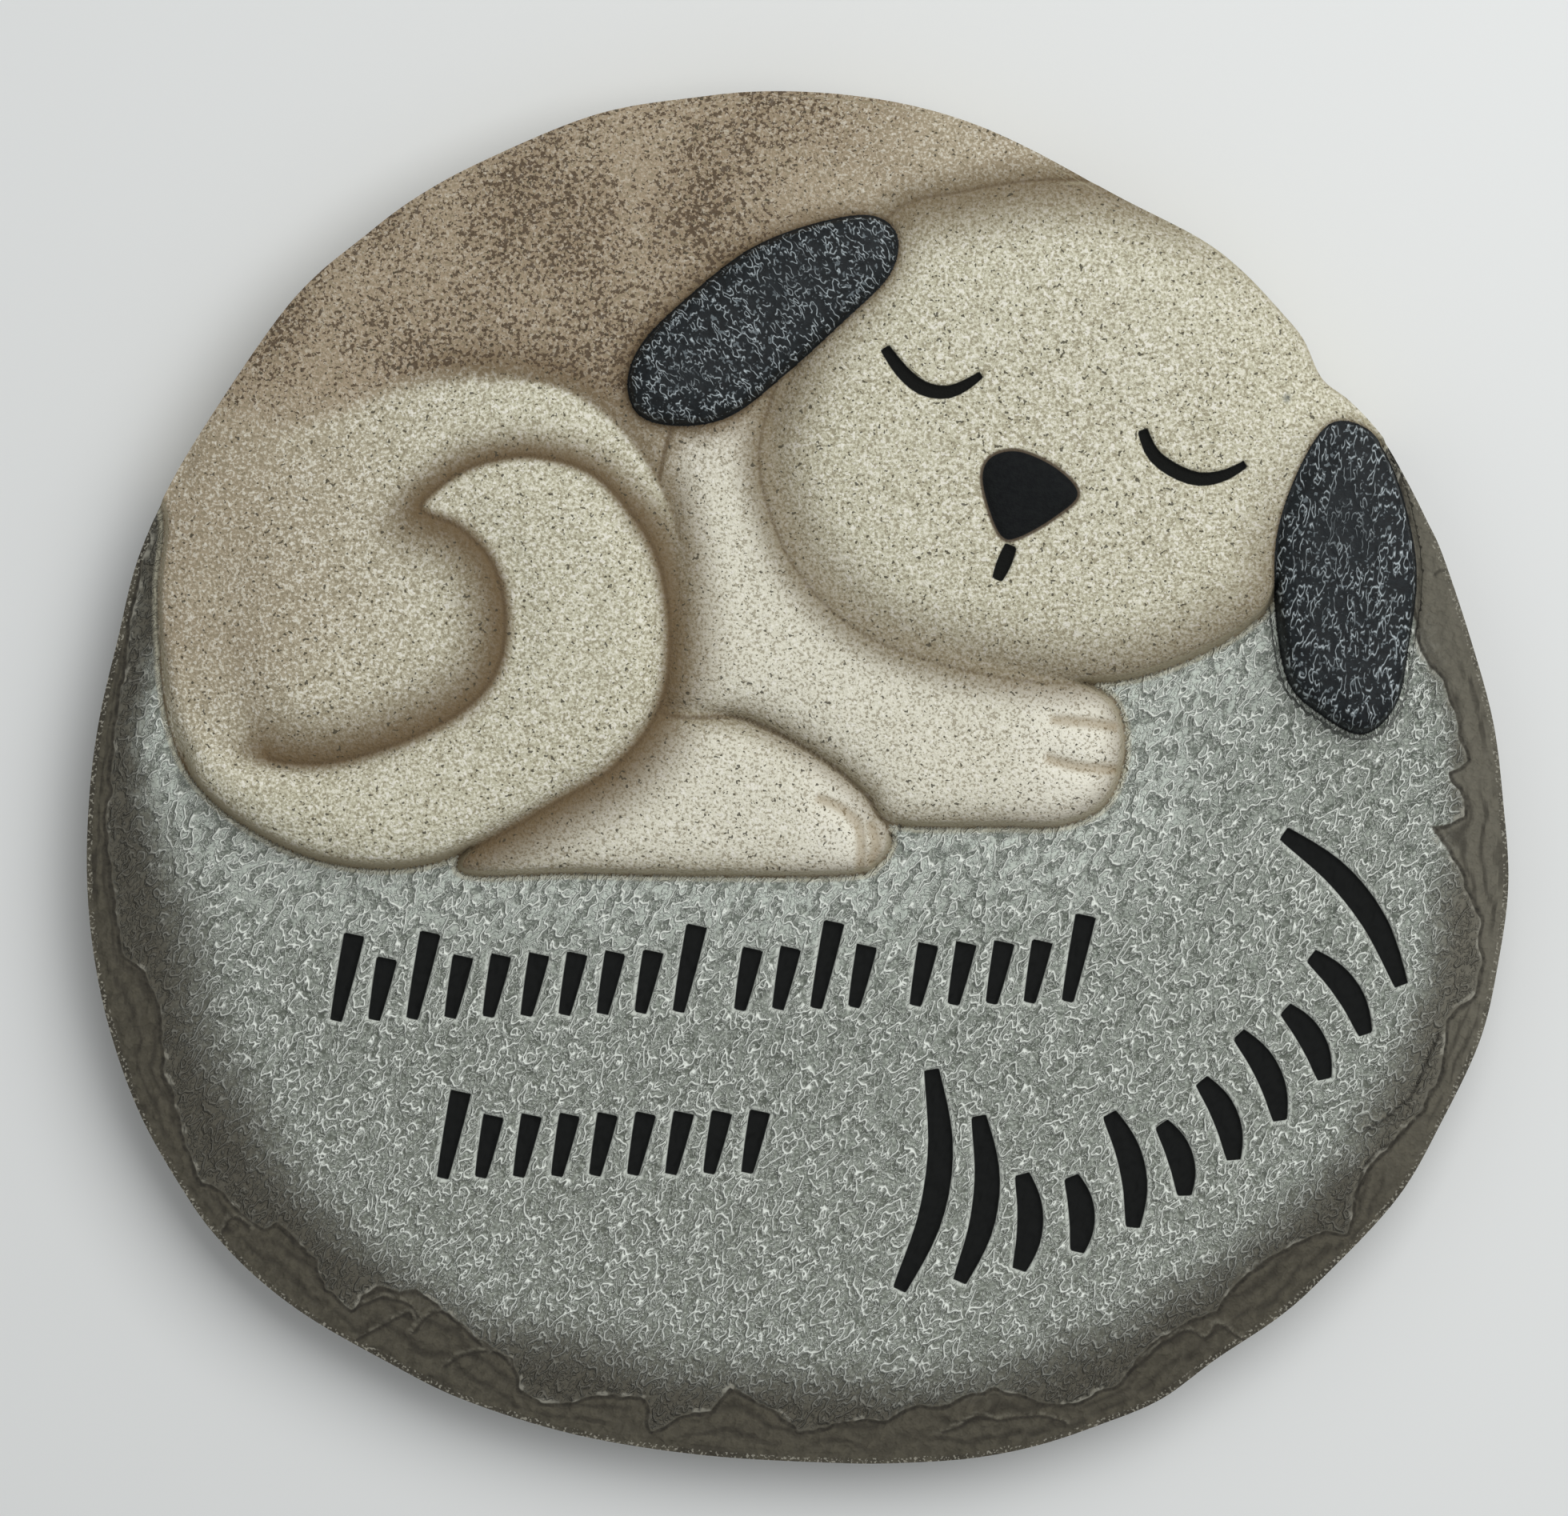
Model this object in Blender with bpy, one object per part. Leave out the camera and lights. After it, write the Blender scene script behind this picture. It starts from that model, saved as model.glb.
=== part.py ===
"""Pet memorial stone: one cast stone, lying face up.

A sleeping dog lies curled in low relief over a slate-like ground whose rim is flaked away.
Rows of shallow engraved strokes stand in the place of the inscription.
The stone lies on its back: +Z leaves the carved face, +Y points to the dog's back.
"""

import math

import bmesh
import bpy
from mathutils import Matrix, Vector, noise
from mathutils.bvhtree import BVHTree

# Driving sizes, in metres.
STONE_WIDTH = 0.280  # across the widest part, left to right
GROUND_THICKNESS = 0.0150  # underside to the slate ground
FLAKE_DROP = 0.0058  # how far the flaked rim lies below the ground
FLAKE_STEP = 0.0011  # broken step where the flaking stops
FLAKE_ROUGHNESS = 0.0016  # unevenness of the flaked band
FOOT_CHAMFER = 0.0012  # round-off along the underside
RIM_GAP = 0.0005  # how far the relief stays inside the stone's edge
RELIEF_ROOT = 0.0060  # depth below the ground to which each relief form is rooted

# Heights over the ground: each form's edge, and its crest.
BODY_EDGE, BODY_CREST = 0.0022, 0.0050
HAUNCH_EDGE, HAUNCH_CREST = 0.0022, 0.0074
TAIL_EDGE, TAIL_CREST = 0.0024, 0.0084
FORELEG_EDGE, FORELEG_CREST = 0.0018, 0.0066
HINDLEG_EDGE, HINDLEG_CREST = 0.0018, 0.0052
HEAD_EDGE, HEAD_CREST = 0.0024, 0.0094
LEFT_EAR_EDGE = BODY_CREST + 0.0024
RIGHT_EAR_EDGE = HEAD_EDGE + 0.0028
EAR_RISE = 0.0026  # an ear's crown over its own edge
NOSE_RISE = 0.0011  # the nose over the face around it

ENGRAVING_DEPTH = 0.0012
ENGRAVING_DRAFT = 0.0004  # how much narrower an engraved stroke is at its floor
TOE_DEPTH = 0.0009
CUTTER_CLEARANCE = 0.0020  # how far a cutter stands out of the surface

# The drawing's unit is a millimetre on a stone 280 mm wide, from the stone's centre.
DRAWN_WIDTH = 280.0
UNIT = STONE_WIDTH / DRAWN_WIDTH

EDGE = [
    (-6, 135), (21, 132.5), (46, 123.5), (63.5, 114), (79, 106), (95.5, 91),
    (103, 78.5), (113.5, 70), (121.5, 57.5), (127, 44), (132.5, 27.5), (137, 11),
    (139, -5), (140, -21), (138, -36.5), (134.5, -51.5), (127, -67.5), (118, -83),
    (103, -99), (82.5, -114.5), (59.5, -127.5), (35, -134), (7, -135), (-18.5, -133.5),
    (-43.5, -129.5), (-66, -122.5), (-89, -110.5), (-106, -99), (-120, -83), (-129, -67.5),
    (-135, -51.5), (-138.5, -36), (-140, -20), (-139.5, -3), (-137.5, 12), (-134, 27),
    (-130, 43), (-123, 58.5), (-113.5, 74), (-102.5, 90), (-86.5, 105.5), (-62.5, 121),
    (-39.5, 130.5),
]
# The broken line at which the slate's rim is flaked away, clockwise from the right ear.
BREAK = [
    (119, 35), (122.5, 24.5), (126.5, 19), (129.5, 11.5), (131.5, 3.5), (128, 1), (131.5, -6),
    (131.8, -8), (124.5, -9.5), (126.5, -12.5), (131, -20), (134.2, -28), (134.5, -36.5),
    (133.5, -42), (127.5, -47.5), (127, -55.5), (124, -63.5), (118.5, -70), (111.5, -77),
    (109.5, -83), (108, -89.5), (103.5, -89), (99, -91.5), (91.5, -94.5), (86, -99.5),
    (82.5, -105), (77.5, -107), (71.5, -110), (66.5, -115), (63.5, -119), (54, -123),
    (47.5, -123), (39, -120), (36, -121), (29.5, -123.5), (24, -123.5), (16, -126),
    (8.5, -127), (0, -128.5), (-3.5, -125), (-7.5, -123.5), (-10, -121), (-13.5, -119.5),
    (-17, -124.5), (-22.5, -125.5), (-28.7, -128.5), (-29.3, -123.5), (-31, -122),
    (-39.5, -121.5), (-46.5, -123), (-50.5, -122.5), (-54.5, -120), (-56, -114.5),
    (-61.5, -111.5), (-65.5, -107.5), (-71, -104), (-75, -101), (-83, -100.5), (-86, -102),
    (-88, -104.5), (-92.5, -100.5), (-94.5, -95), (-99.5, -90), (-102.5, -87.5),
    (-105, -88.5), (-109.5, -86), (-113, -81.5), (-117.5, -79), (-121.5, -68), (-124.5, -58),
    (-125, -50), (-125.4, -45), (-128.5, -38), (-133, -34.5), (-134, -28), (-136, -8),
    (-134, 10), (-131.5, 30), (-127.5, 48),
]
BODY = [
    (-130, 68), (-100, 105), (-60, 130), (0, 142), (50, 130), (72, 112), (60, 70),
    (20, 30), (-22, 12), (-60, -8), (-98, -12), (-114, -4), (-122.5, 8), (-125.5, 24),
    (-126, 38), (-125, 52),
]
BODY_SPINE = [(-95, 40, 0.8), (-70, 75, 1.0), (-30, 90, 1.0), (10, 80, 1.0)]
HAUNCH = [
    (-87.5, 71), (-75, 77), (-61, 79), (-46.5, 77), (-35, 69.5), (-26.5, 57), (-22.5, 43),
    (-22, 30), (-24.5, 16.5), (-37.5, 2), (-56, -6), (-78, -7.5), (-100, -3), (-114, 11.5),
    (-119, 30), (-116, 49), (-103.5, 63),
]
HAUNCH_SPINE = [(-92, 30, 0.72), (-75, 38, 0.86), (-62, 44, 1.0), (-52, 48, 1.0)]
TAIL = [
    (-74, 52.8), (-68.5, 58.5), (-61, 62), (-51.5, 63), (-41, 60), (-33.5, 53), (-27.5, 43),
    (-25, 28.5), (-27, 14), (-35.5, 2.5), (-48.5, -5.5), (-61, -12.5), (-72, -17),
    (-84.5, -18), (-98.5, -15), (-112, -7.5), (-120.5, 1.5), (-124.5, 13), (-125.5, 27),
    (-121, 32), (-116.5, 17), (-113, 9.5), (-105, 4), (-92.5, 3), (-78, 7), (-65.5, 13.5),
    (-59, 21.5), (-57.5, 32), (-60, 42), (-66.5, 49),
]
TAIL_SPINE = [
    (-71, 53.2, 0.55), (-63, 55.5, 0.86), (-54, 54, 1.0), (-46, 48, 1.0), (-41.5, 39, 1.0),
    (-41, 29, 1.0), (-43.5, 18, 1.0), (-50, 8.5, 1.0), (-61, 0.5, 1.0), (-74, -5, 0.98),
    (-88, -7, 0.92), (-101, -5, 0.86), (-112, 1.5, 0.78), (-118.5, 12, 0.66), (-121.5, 25, 0.5),
]
FORELEG = [
    (-21, 58.5), (-21.5, 36), (-24.5, 15.5), (-10.5, 11.5), (3.5, 4.5), (13, -3), (19, -9.3),
    (40, -9.8), (52.5, -9.5), (61, -5), (64.5, 4), (63.5, 13), (58.5, 18), (40, 27),
    (16, 43), (2, 60), (-4, 74), (-15.5, 76),
]
FORELEG_SPINE = [(-9, 55, 0.9), (-6, 38, 1.0), (4, 24, 1.0), (20, 13, 1.0), (38, 6, 1.0), (52, 4, 0.94)]
HINDLEG = [
    (-24.5, 15.5), (-10.5, 11.5), (3.5, 4.5), (13, -3), (18.5, -11.5), (16, -17), (10, -19.3),
    (-15.5, -19.5), (-43.5, -19), (-67, -18.3), (-56, -4.5), (-40.5, 11.5),
]
HINDLEG_SPINE = [(-42, -6, 1.0), (-22, -3, 1.0), (-5, -7, 1.0), (8, -11, 0.96)]
HEAD = [
    (-7.5, 65), (-5.5, 52), (0.5, 39.5), (11.5, 29), (25.5, 23), (44.5, 19), (63.5, 19),
    (79, 24), (91, 31.5), (95, 44.5), (99.5, 60), (104, 74), (101, 82), (93.5, 93.5),
    (79, 105.5), (63.5, 113.5), (49, 116.5), (32, 115), (19.5, 111.5), (8.5, 98), (-2.5, 80.5),
]
HEAD_SPINE = [(38, 72, 1.0), (50, 68, 1.0), (62, 65, 1.0)]
LEFT_EAR = [
    (-33.5, 77.5), (-30.5, 85.5), (-21.5, 94.5), (-10, 103.5), (2, 108.5), (14, 110.5),
    (19.5, 106.5), (18, 98.5), (8.5, 89), (-2, 79.5), (-13, 71), (-23, 69), (-31, 71),
]
LEFT_EAR_SPINE = [(-24, 78, 1.0), (-12, 87, 1.0), (2, 97.5, 1.0), (10, 103, 1.0)]
RIGHT_EAR = [
    (104.5, 69.5), (112, 68.5), (117, 61.5), (120.5, 50.5), (122, 39.5), (120.5, 26.5),
    (118, 14.5), (111.5, 8.5), (103.5, 12), (96.5, 19), (94, 33.5), (94, 47.5), (98.5, 61),
]
RIGHT_EAR_SPINE = [(108.5, 59, 1.0), (108, 45, 1.0), (107.5, 30, 1.0), (109, 19, 1.0)]
NOSE = [
    (36, 59), (38, 63), (43.5, 64), (51, 60.5), (55, 55.5), (50.5, 51), (43.5, 47),
    (40, 47), (37.5, 52),
]
NOSE_SPINE = [(43, 56.5, 1.0), (47, 56, 1.0)]

# Engraved strokes on the figure: centre lines, and widths at start, middle and end.
LEFT_EYE = [(17, 84.3), (20.5, 79.5), (24.5, 76.3), (29, 75.5), (32.5, 76.7), (36, 79)]
RIGHT_EYE = [(67.5, 68.2), (69.5, 63.5), (73.5, 60.3), (78.5, 58.5), (83.5, 59.2), (87.8, 61.5)]
MOUTH = [(41.8, 45.6), (40.6, 42.5), (39, 38.7)]
EYE_WIDTHS = (1.3, 2.4, 1.3)
MOUTH_WIDTHS = (2.4, 2.7, 1.9)
FORE_TOES = [[(50, 11.3), (55.5, 11), (62.5, 10)], [(49, 3.8), (55, 2.2), (63, 1.5)]]
HIND_TOES = [[(4, -4), (9, -6.3), (12.3, -10.5), (12.3, -18.6)], [(14.2, -9), (15.3, -13), (14.2, -17.2)]]
TOE_WIDTHS = (1.0, 1.3, 1.1)

# Inscription rows: wedge-like strokes that lean on a straight foot line.
ROW_WIDTHS = (2.4, 3.5, 4.2)
ROW_LEAN = math.radians(12)
ROW_PITCH = 7.5
WORD_GAP = 4.6
TALL, LOW = 17.5, 12.5
ROWS = [
    {"start": (-91, -48), "turn": math.radians(1.5),
     "words": [[TALL, LOW, TALL, LOW, LOW, LOW, LOW, LOW, LOW, TALL],
               [LOW, LOW, TALL, LOW], [LOW, LOW, LOW, LOW, TALL]]},
    {"start": (-70, -79), "turn": math.radians(1.0),
     "words": [[TALL, LOW, LOW, LOW, LOW, LOW, LOW, LOW, LOW]]},
]
# The slanting row climbs along an arc, with its longest strokes at both ends.
ARC = [(20, -101), (42, -97.5), (63.5, -90), (82.5, -78), (98, -65), (110, -53), (119, -41)]
ARC_STROKES = [44, 33, 19, 15, 23, 15, 17, 19, 16, 19, 38]
ARC_WIDTHS = (2.8, 5.2, 3.0)
ARC_LEAN = math.radians(16)
ARC_BOW = 0.09  # how far a stroke bows, as a share of its length

EDGE_POINTS = 240
BACK_COLUMNS = 40  # columns of the slab's wall behind the dog, where nothing is flaked
PILLOW_RINGS = (1.0, 0.975, 0.93, 0.86, 0.75, 0.58, 0.34, 0.12)


def smooth_line(points, closed):
    """Points of a smooth line that passes through the drawn points."""
    steps = 10
    last = len(points) - 1
    line = []
    for i in range(len(points) if closed else last):
        if closed:
            a, b, c, d = (Vector(points[(i + k) % (last + 1)]) for k in (-1, 0, 1, 2))
        else:
            a, b, c, d = (Vector(points[min(max(i + k, 0), last)]) for k in (-1, 0, 1, 2))
        for step in range(steps):
            t = step / steps
            line.append(0.5 * (2 * b + (c - a) * t + (2 * a - 5 * b + 4 * c - d) * t ** 2
                               + (3 * b - a - 3 * c + d) * t ** 3))
    line.append(line[0].copy() if closed else Vector(points[-1]))
    return line


def even_points(line, count, closed):
    """The line's points, spaced evenly along it."""
    lengths = [(q - p).length for p, q in zip(line, line[1:])]
    total = sum(lengths)
    gaps = count if closed else count - 1
    found, i, passed = [], 0, 0.0
    for k in range(count):
        target = total * k / gaps
        while i < len(lengths) - 1 and passed + lengths[i] < target:
            passed += lengths[i]
            i += 1
        share = min(1.0, (target - passed) / max(lengths[i], 1e-9))
        found.append(line[i].lerp(line[i + 1], share))
    return found


def drawn_outline(points, count):
    """A drawn closed outline in metres, as evenly spaced points."""
    return [p * UNIT for p in even_points(smooth_line(points, True), count, True)]


def radius_at(outline, angle):
    """Distance from the stone's centre to a closed outline, in the direction of the angle."""
    ray = Vector((math.cos(angle), math.sin(angle)))
    reach = 0.0
    for p, q in zip(outline, outline[1:] + outline[:1]):
        side = q - p
        cross = ray.cross(side)
        if abs(cross) < 1e-12:
            continue
        share = p.cross(ray) / cross
        if -1e-6 <= share <= 1 + 1e-6:
            reach = max(reach, p.cross(side) / cross)
    return reach


def inside_edge(outline, edge):
    """The outline, held inside the stone's edge."""
    held = []
    for p in outline:
        limit = radius_at(edge, math.atan2(p.y, p.x)) - RIM_GAP
        held.append(p * (limit / p.length) if p.length > limit else p)
    return held


def nearest_on_spine(point, spine):
    """The spine's point nearest to a point, and the share of the crest height there."""
    best = None
    for (ax, ay, ah), (bx, by, bh) in zip(spine, spine[1:]):
        a, b = Vector((ax, ay)) * UNIT, Vector((bx, by)) * UNIT
        side = b - a
        share = min(1.0, max(0.0, (point - a).dot(side) / side.length_squared))
        foot = a + side * share
        distance = (point - foot).length
        if best is None or distance < best[0]:
            best = (distance, foot, ah + (bh - ah) * share)
    return best[1], best[2]


def new_object(name, mesh_maker, material):
    """An object from a bmesh, with its faces pointing out."""
    bmesh.ops.recalc_face_normals(mesh_maker, faces=mesh_maker.faces)
    mesh = bpy.data.meshes.new(name)
    mesh_maker.to_mesh(mesh)
    mesh_maker.free()
    mesh.materials.append(material)
    made = bpy.data.objects.new(name, mesh)
    bpy.context.scene.collection.objects.link(made)
    return made


def as_helper(made):
    """Marks a cutter or a form that is only joined into the stone."""
    made.hide_render = True
    made.display_type = "WIRE"
    return made


def join_rings(maker, rings):
    """Closes a stack of equal rings into a solid, with a face at each end."""
    loops = [[maker.verts.new(p) for p in ring] for ring in rings]
    count = len(loops[0])
    for lower, upper in zip(loops, loops[1:]):
        for i in range(count):
            j = (i + 1) % count
            maker.faces.new((lower[i], lower[j], upper[j], upper[i]))
    maker.faces.new(reversed(loops[0]))
    maker.faces.new(loops[-1])


def pillow(name, points, spine, heights, edge, material, count, roundness):
    """A cushion-like relief form: upright sides, a rounded shoulder, a crowned top.

    Each ring is the outline drawn in towards the spine, and rises as the ring gets smaller.
    """
    edge_height, crest = heights
    outline = inside_edge(drawn_outline(points, count), edge)
    feet = [nearest_on_spine(p, spine) for p in outline]
    rings = [[(p.x, p.y, GROUND_THICKNESS - RELIEF_ROOT) for p in outline]]
    for size in PILLOW_RINGS:
        swell = math.sqrt(1 - size ** roundness)
        rings.append([
            (foot.x + (p.x - foot.x) * size, foot.y + (p.y - foot.y) * size,
             GROUND_THICKNESS + edge_height + (crest * share - edge_height) * swell)
            for p, (foot, share) in zip(outline, feet)
        ])
    maker = bmesh.new()
    join_rings(maker, rings)
    return new_object(name, maker, material)


def slab(edge, material):
    """The slate body of the stone, with a flaked rim outside the broken line."""
    flaked = [Vector(p) * UNIT for p in BREAK]
    first, last = flaked[0], flaked[-1]
    start = math.atan2(first.y, first.x)
    turn = math.atan2(last.y, last.x) - start
    columns = [(math.atan2(p.y, p.x), p.length, 1.0) for p in flaked]
    for i in range(1, BACK_COLUMNS):
        angle = start + turn * (1 - i / BACK_COLUMNS)
        columns.append((angle, radius_at(edge, angle) - FOOT_CHAMFER - FLAKE_STEP, 0.0))
    heights = []
    for angle, broken, slate in columns:
        out = Vector((math.cos(angle), math.sin(angle)))
        rim_radius = radius_at(edge, angle)
        jag = noise.noise(Vector((*out, 0)) * 17) * FLAKE_ROUGHNESS * slate
        ledge = GROUND_THICKNESS - FLAKE_STEP * slate
        rim = GROUND_THICKNESS - FLAKE_DROP * slate + jag
        middle = rim * 0.4 + ledge * 0.6 - jag
        profile = ((rim_radius - FOOT_CHAMFER, 0.0), (rim_radius, FOOT_CHAMFER), (rim_radius, rim),
                   (0.55 * rim_radius + 0.45 * broken, middle), (broken, ledge),
                   (broken - 0.5 * FLAKE_STEP, GROUND_THICKNESS))
        heights.append([(*(out * radius), height) for radius, height in profile])
    maker = bmesh.new()
    join_rings(maker, list(zip(*heights)))
    return new_object("memorial_stone", maker, material)


def stroke_solid(maker, centre, widths, surface, depth):
    """A cutter for one engraved stroke, with its widths at start, middle and end.

    Its floor follows the surface at its depth. Its slanted wall keeps its slope up to the
    surface and past it.
    """
    first_width, middle_width, last_width = widths
    last = len(centre) - 1
    slope = (depth + CUTTER_CLEARANCE) / depth
    low, high = [], []
    for side in (1, -1):
        for i in range(last + 1)[::side]:
            along = (centre[min(i + 1, last)] - centre[max(i - 1, 0)]).normalized()
            across = Vector((-along.y, along.x)) * side
            t = i / last
            width = (first_width * (1 - t) * (1 - 2 * t) + middle_width * 4 * t * (1 - t)
                     + last_width * t * (2 * t - 1)) * UNIT
            end = along * ENGRAVING_DRAFT * ((i == last) - (i == 0))
            floor = centre[i] + across * (width / 2 - ENGRAVING_DRAFT) - end
            wall = (across * ENGRAVING_DRAFT + end) * slope
            level = surface(floor)
            low.append((floor.x, floor.y, level - depth))
            high.append((floor.x + wall.x, floor.y + wall.y, level + CUTTER_CLEARANCE))
    join_rings(maker, [low, high])


def drawn_stroke(points, stations):
    """A drawn open line in metres, as evenly spaced points."""
    return [p * UNIT for p in even_points(smooth_line(points, False), stations, False)]


def row_strokes(row):
    """Centre lines of one straight inscription row, as leaning parallel strokes."""
    heading = Vector((math.cos(row["turn"]), math.sin(row["turn"])))
    lean = Vector((math.sin(ROW_LEAN), math.cos(ROW_LEAN)))
    place = Vector(row["start"])
    lines = []
    for word in row["words"]:
        for length in word:
            lines.append([place, place + lean * length])
            place = place + heading * ROW_PITCH
        place = place + heading * WORD_GAP
    return lines


def arc_strokes():
    """Centre lines of the slanting row: bowed strokes that climb along an arc."""
    feet = even_points(smooth_line(ARC, False), len(ARC_STROKES), False)
    lines = []
    for i, (foot, length) in enumerate(zip(feet, ARC_STROKES)):
        along = (feet[min(i + 1, len(feet) - 1)] - feet[max(i - 1, 0)]).normalized()
        up = Matrix.Rotation(-ARC_LEAN, 2) @ Vector((-along.y, along.x)) * length
        bow = Vector((up.y, -up.x)) * ARC_BOW
        lines.append([foot, foot + up / 3 + bow, foot + up * 2 / 3 + bow, foot + up])
    return lines


def engraving_cutter(figure, material):
    """One cutter that holds every engraved stroke."""
    tree = BVHTree.FromObject(figure, bpy.context.evaluated_depsgraph_get())
    above = Vector((0, 0, GROUND_THICKNESS + 2 * HEAD_CREST))

    def on_figure(p):
        return tree.ray_cast(p.to_3d() + above, Vector((0, 0, -1)))[0].z

    def on_ground(p):
        return GROUND_THICKNESS

    maker = bmesh.new()
    for line in (LEFT_EYE, RIGHT_EYE):
        stroke_solid(maker, drawn_stroke(line, 7), EYE_WIDTHS, on_figure, ENGRAVING_DEPTH)
    stroke_solid(maker, drawn_stroke(MOUTH, 4), MOUTH_WIDTHS, on_figure, ENGRAVING_DEPTH)
    for line in FORE_TOES + HIND_TOES:
        stroke_solid(maker, drawn_stroke(line, 5), TOE_WIDTHS, on_figure, TOE_DEPTH)
    for row in ROWS:
        for line in row_strokes(row):
            stroke_solid(maker, drawn_stroke(line, 3), ROW_WIDTHS, on_ground, ENGRAVING_DEPTH)
    for line in arc_strokes():
        stroke_solid(maker, drawn_stroke(line, 6), ARC_WIDTHS, on_ground, ENGRAVING_DEPTH)
    return new_object("engraving_cutter", maker, material)


def boolean(target, other, operation):
    modifier = target.modifiers.new(other.name, "BOOLEAN")
    modifier.operation = operation
    modifier.solver = "EXACT"
    modifier.object = other


def painted(name, colour, roughness):
    material = bpy.data.materials.new(name)
    material.use_nodes = True
    shader = material.node_tree.nodes["Principled BSDF"]
    shader.inputs["Base Color"].default_value = (*colour, 1)
    shader.inputs["Roughness"].default_value = roughness
    shader.inputs["Metallic"].default_value = 0.0
    material.diffuse_color = (*colour, 1)
    return material


def build():
    for old in list(bpy.data.objects):
        bpy.data.objects.remove(old, do_unlink=True)
    cast_stone = painted("cast_stone", (0.42, 0.42, 0.38), 0.9)
    edge = drawn_outline(EDGE, EDGE_POINTS)

    # Name, outline, spine, heights of edge and crest, points round it, roundness.
    forms = [
        ("body", BODY, BODY_SPINE, (BODY_EDGE, BODY_CREST), 72, 7.0),
        ("haunch", HAUNCH, HAUNCH_SPINE, (HAUNCH_EDGE, HAUNCH_CREST), 44, 4.0),
        ("hindleg", HINDLEG, HINDLEG_SPINE, (HINDLEG_EDGE, HINDLEG_CREST), 40, 3.5),
        ("foreleg", FORELEG, FORELEG_SPINE, (FORELEG_EDGE, FORELEG_CREST), 48, 3.5),
        ("tail", TAIL, TAIL_SPINE, (TAIL_EDGE, TAIL_CREST), 64, 3.0),
        ("head", HEAD, HEAD_SPINE, (HEAD_EDGE, HEAD_CREST), 56, 5.0),
        ("left_ear", LEFT_EAR, LEFT_EAR_SPINE, (LEFT_EAR_EDGE, LEFT_EAR_EDGE + EAR_RISE), 36, 3.0),
        ("right_ear", RIGHT_EAR, RIGHT_EAR_SPINE, (RIGHT_EAR_EDGE, RIGHT_EAR_EDGE + EAR_RISE), 36, 3.0),
        ("nose", NOSE, NOSE_SPINE, (HEAD_CREST, HEAD_CREST + NOSE_RISE), 20, 3.0),
    ]
    stone = slab(edge, cast_stone)
    for name, points, spine, heights, count, roundness in forms:
        form = pillow(name, points, spine, heights, edge, cast_stone, count, roundness)
        boolean(stone, as_helper(form), "UNION")
    boolean(stone, as_helper(engraving_cutter(stone, cast_stone)), "DIFFERENCE")


build()
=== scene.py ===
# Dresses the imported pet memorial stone: a cast slab with a sleeping dog in low relief,
# painted by hand to look like sandstone on slate.

import math

import bpy
import numpy as np
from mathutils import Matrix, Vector, noise


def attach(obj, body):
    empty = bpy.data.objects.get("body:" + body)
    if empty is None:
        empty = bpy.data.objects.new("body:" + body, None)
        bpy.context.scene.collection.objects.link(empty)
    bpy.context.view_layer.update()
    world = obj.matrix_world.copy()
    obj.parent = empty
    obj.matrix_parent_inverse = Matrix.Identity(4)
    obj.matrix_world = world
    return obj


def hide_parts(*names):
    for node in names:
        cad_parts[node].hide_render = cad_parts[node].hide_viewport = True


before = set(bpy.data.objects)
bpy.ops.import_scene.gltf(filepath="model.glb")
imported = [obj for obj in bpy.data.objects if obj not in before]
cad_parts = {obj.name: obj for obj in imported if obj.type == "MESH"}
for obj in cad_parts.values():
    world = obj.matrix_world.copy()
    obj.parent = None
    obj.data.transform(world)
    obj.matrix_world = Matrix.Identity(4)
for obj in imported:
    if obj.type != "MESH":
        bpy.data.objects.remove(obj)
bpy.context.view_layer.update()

mm = 0.001
bpy.ops.object.select_all(action="DESELECT")

# The stone's drawing, in millimetres from its centre, +Y to the dog's back.
stoneEdge = [
    (-6, 135), (7.5, 134.5), (21, 132.5), (33.5, 129), (46, 123.5), (63.5, 114), (79, 106),
    (87.5, 99.5), (95.5, 91), (99.5, 86), (103, 78.5), (108, 74.5), (112.5, 70), (116, 65.5),
    (120.5, 57.5), (124, 50.5), (127, 44), (132.5, 27.5), (137, 11), (139, -5), (140, -21),
    (138, -36.5), (134.5, -51.5), (127, -67.5), (118, -83), (103, -99), (94.5, -106.5),
    (82.5, -114.5), (71.5, -122.5), (59.5, -127.5), (47.5, -131.5), (35, -134), (21, -135),
    (7, -135), (-18.5, -133.5), (-43.5, -129.5), (-66, -122.5), (-82, -114.5), (-96, -106.5),
    (-106, -99), (-114, -91), (-120, -83), (-129, -67.5), (-135, -51.5), (-138.5, -36),
    (-140, -20), (-139.5, -3), (-137.5, 12), (-134, 27), (-130, 43), (-123, 58.5),
    (-113.5, 74), (-102.5, 90), (-95, 98.5), (-86.5, 105.5), (-76, 113.5), (-62.5, 121),
    (-39.5, 130.5), (-18.5, 134),
]
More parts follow.
